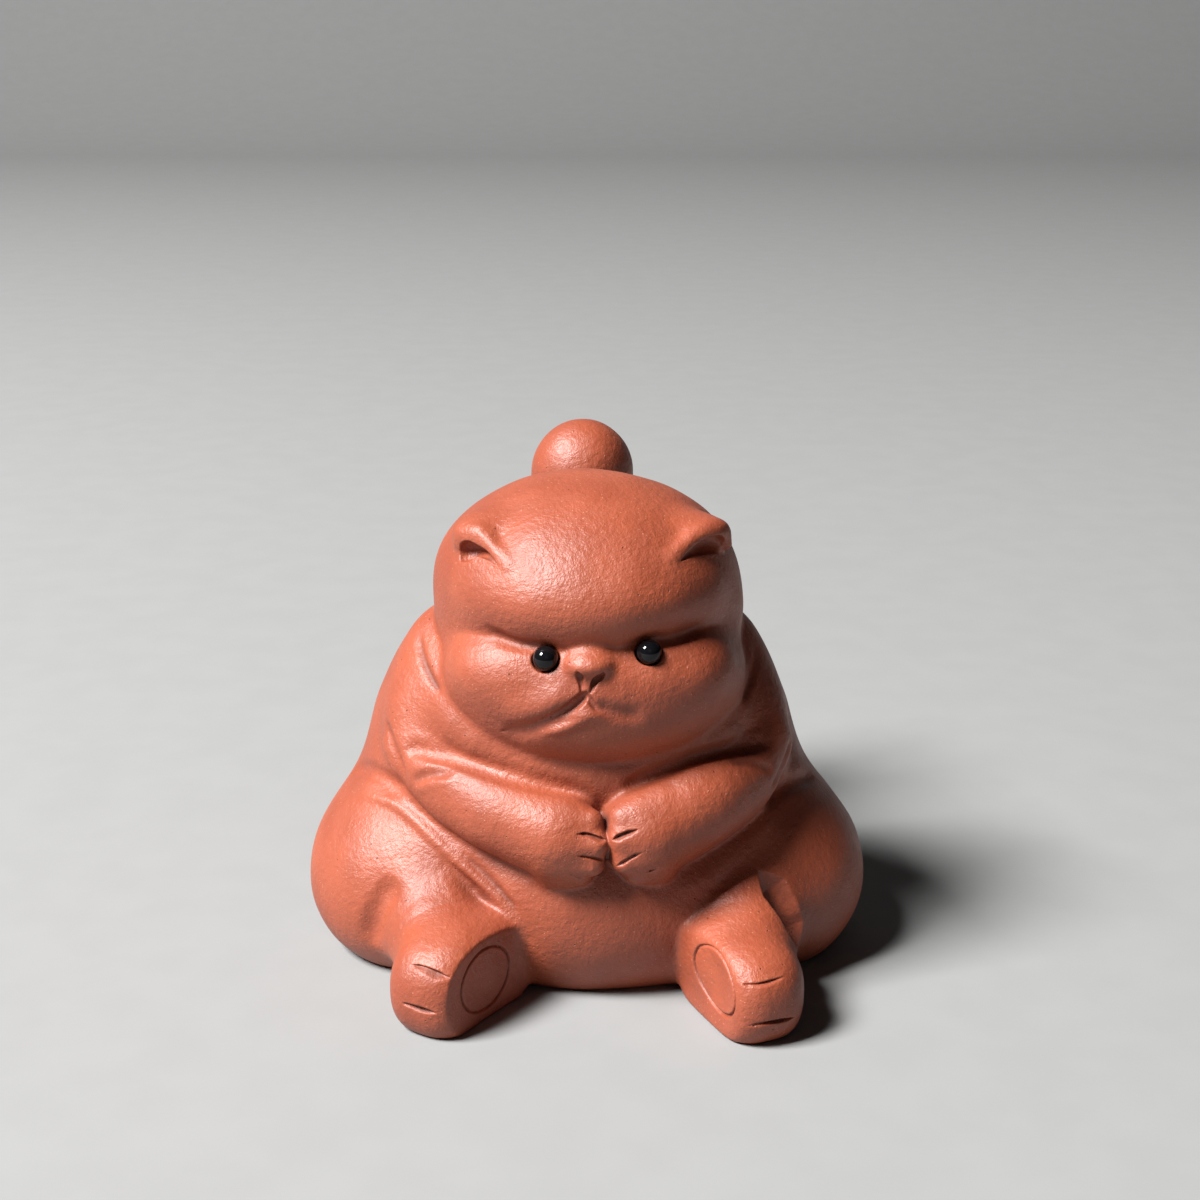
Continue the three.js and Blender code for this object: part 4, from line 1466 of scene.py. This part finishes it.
@dataclass(frozen=True)
class Bead:
    """A round glass bead with its thread hole, set into the clay with the hole turned inwards."""

    node: str
    hole: float = 0.35
    hole_edge: float = 0.12
    turns: int = 96
    rings: int = 60

    def profile(self) -> Array:
        """Half outline from front pole to back pole and through the hole: radius and depth in bead radii."""
        _, radius = bead_centre(self.node)
        hole, edge = self.hole / radius, self.hole_edge / radius
        end = math.pi - math.asin(hole + edge)
        angle = np.linspace(0, end, self.rings)
        outside = np.stack([np.sin(angle), -np.cos(angle)], 1)
        lip = np.linspace(0, math.pi / 2, 6)[1:]
        mouth = outside[-1] + np.stack([-edge * np.sin(lip), -edge * (1 - np.cos(lip))], 1)
        floor = np.array([[hole, -0.2], [hole * 0.7, -0.28], [0, -0.3]])
        return np.concatenate([outside, mouth, floor])

    def build(self) -> bpy.types.Object:
        """Revolve the profile about the bead's own axis, which looks out along -Y."""
        centre, radius = bead_centre(self.node)
        profile = self.profile() * radius
        turn = np.linspace(0, 2 * math.pi, self.turns, endpoint=False)
        rings = profile[1:-1]
        body = np.stack(
            [
                rings[:, None, 0] * np.cos(turn),
                rings[:, None, 1] + 0 * turn,
                rings[:, None, 0] * np.sin(turn),
            ],
            axis=2,
        ).reshape(-1, 3)
        poles = np.array([[0, profile[0, 1], 0], [0, profile[-1, 1], 0]])
        corners = np.concatenate([poles, body]) + np.array(centre)
        here = 2 + np.arange(len(rings) - 1)[:, None] * self.turns + np.arange(self.turns)
        there = 2 + np.arange(len(rings) - 1)[:, None] * self.turns + (np.arange(self.turns) + 1) % self.turns
        quads = np.stack([here, here + self.turns, there + self.turns, there], 2).reshape(-1, 4)
        around = 2 + np.arange(self.turns)
        beyond = 2 + (np.arange(self.turns) + 1) % self.turns
        last = (len(rings) - 1) * self.turns
        front = np.stack([0 * around, around, beyond], 1)
        back = np.stack([0 * around + 1, beyond + last, around + last], 1)
        sides = np.concatenate([quads[:, [0, 1, 2]], quads[:, [0, 2, 3]]])
        return new_piece(self.node + "_bead", corners, np.concatenate([front, sides, back]))


@dataclass(frozen=True)
class Studio:
    """A pale sweep of paper, a soft key light from the front left, a weak fill and a dim sky.

    The sky gives little light, but beyond the paper it looks as pale as the paper does.
    """

    half_width: float = 1.5
    front: float = -1.0
    back: float = 1.2
    wall: float = 1.6
    bend: float = 0.5
    bend_steps: int = 24
    key_place: Vec3 = (-1.0, -0.48, 1.35)
    key_size: float = 0.56
    key_watts: float = 100.0
    fill_place: Vec3 = (0.1, -0.7, 0.5)
    fill_size: float = 0.4
    fill_watts: float = 0.08
    aim: Vec3 = (0, -0.005, 0.03)
    sky: Colour = (0.5, 0.55, 0.6)
    sky_strength: float = 0.02
    backdrop_strength: float = 0.6
    camera_place: Vec3 = (0.0014, -0.2325, 0.1149)
    camera_pitch: float = 17.1
    lens: float = 60.0
    sensor: float = 36.0

    def sweep(self) -> bpy.types.Object:
        """Floor, quarter round and wall in one sheet."""
        angle = np.linspace(0, math.pi / 2, self.bend_steps)
        arc = np.stack([self.back + self.bend * np.sin(angle), self.bend * (1 - np.cos(angle))], 1)
        line = np.concatenate([[[self.front, 0]], arc, [[self.back + self.bend, self.wall]]])
        corners = np.concatenate(
            [np.column_stack([np.full(len(line), side * self.half_width), line]) for side in (-1, 1)]
        )
        first = np.arange(len(line) - 1)
        quads = np.stack([first, first + len(line), first + len(line) + 1, first + 1], 1)
        return new_piece("studio_sweep", corners / MM, quads)

    def light(self, name: str, place: Vec3, size: float, watts: float) -> None:
        """Add a square soft light that looks at the figure."""
        data = bpy.data.lights.new(name, "AREA")
        data.energy, data.size = watts, size
        lamp = bpy.data.objects.new(name, data)
        lamp.location = place
        lamp.rotation_euler = (Vector(self.aim) - Vector(place)).to_track_quat("-Z", "Y").to_euler()
        bpy.context.scene.collection.objects.link(lamp)

    def build(self, paper: bpy.types.Material) -> None:
        """Put up the sweep, the lights, the sky and the camera."""
        sweep = self.sweep()
        sweep.data.materials.append(paper)
        self.light("key", self.key_place, self.key_size, self.key_watts)
        self.light("fill", self.fill_place, self.fill_size, self.fill_watts)
        world = bpy.data.worlds.new("sky")
        world.use_nodes = True
        g = GroupBuilder(world.node_tree)
        sky = world.node_tree.nodes["Background"]
        seen = g.node("ShaderNodeLightPath").outputs["Is Camera Ray"]
        sky.inputs["Color"].default_value = (*self.sky, 1)
        g.link(g.ramp(seen, 0.0, 1.0, self.sky_strength, self.backdrop_strength), sky.inputs["Strength"])
        bpy.context.scene.world = world
        data = bpy.data.cameras.new("camera")
        data.lens, data.sensor_width = self.lens, self.sensor
        camera = bpy.data.objects.new("camera", data)
        camera.matrix_world = Matrix.Translation(self.camera_place) @ Matrix.Rotation(
            math.radians(90 - self.camera_pitch), 4, "X"
        )
        bpy.context.scene.collection.objects.link(camera)
        bpy.context.scene.camera = camera
        bpy.context.scene.view_settings.view_transform = "Standard"


def clay_piece(
    socket_gap: float = 0.1, depth: float = 0.7, least_hollow: float = 0.12, least_ridge: float = 0.1
) -> bpy.types.Object:
    """Sculpt the figure with its eye sockets, and mark its hollows (where the clay paints shade) and ridges for
    the clay material.

    The bend is (distance inside + distance outside) / depth: both are depth long on a flat surface.

    Args:
        socket_gap: how much wider than its bead a socket is, in mm of radius.
        depth: how far inside and outside the skin the bend is measured, in mm.
        least_hollow: bend below which nothing counts as a hollow.
        least_ridge: bend below which nothing counts as a ridge.

    Returns:
        The figure's piece.
    """
    beads = [bead_centre(node) for node in ("left_eye", "right_eye")]
    sockets = tuple(Lump(centre, (radius + socket_gap,) * 3) for centre, radius in beads)
    figure = Figure(sockets=sockets)
    corners, triangles = figure.skin_mesh()
    normals = figure.slope(corners, figure.first_step)
    normals /= np.maximum(np.linalg.norm(normals, axis=1), 1e-6)[:, None]
    inside = figure.distance(corners - normals * depth) + depth
    outside = figure.distance(corners + normals * depth) - depth
    bend = (inside + outside) / depth
    piece = new_piece("cat_clay", corners, triangles)
    # hollow: how deep a corner sits in a crease, used by the clay for painted shade and rougher clay
    for name, values in (("hollow", -bend - least_hollow), ("ridge", bend - least_ridge)):
        layer = piece.data.attributes.new(name, "FLOAT", "POINT")
        layer.data.foreach_set("value", np.clip(values, 0, 1).astype(np.float32))
    return piece


def main() -> None:
    """Build the figure, the beads and the studio, and report each piece."""
    logging.basicConfig(level=logging.INFO, format="%(message)s")
    handling = Handling().group()
    clay = Clay().material(Grain().group(), handling)
    gloss = Gloss().material(handling)
    pieces = [(clay_piece(), clay, Finish.CLAY, "cat_figure")]
    pieces += [(Bead(node).build(), gloss, Finish.BEAD, node) for node in ("left_eye", "right_eye")]
    for piece, material, finish, node in pieces:
        piece.data.materials.append(material)
        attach(piece, "root")
        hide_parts(node)
        LOG.info("%s: %d triangles, in place of %s", piece.name, len(piece.data.polygons), node)
    Studio().build(Paper().material(handling))


if __name__ == "__main__":
    main()
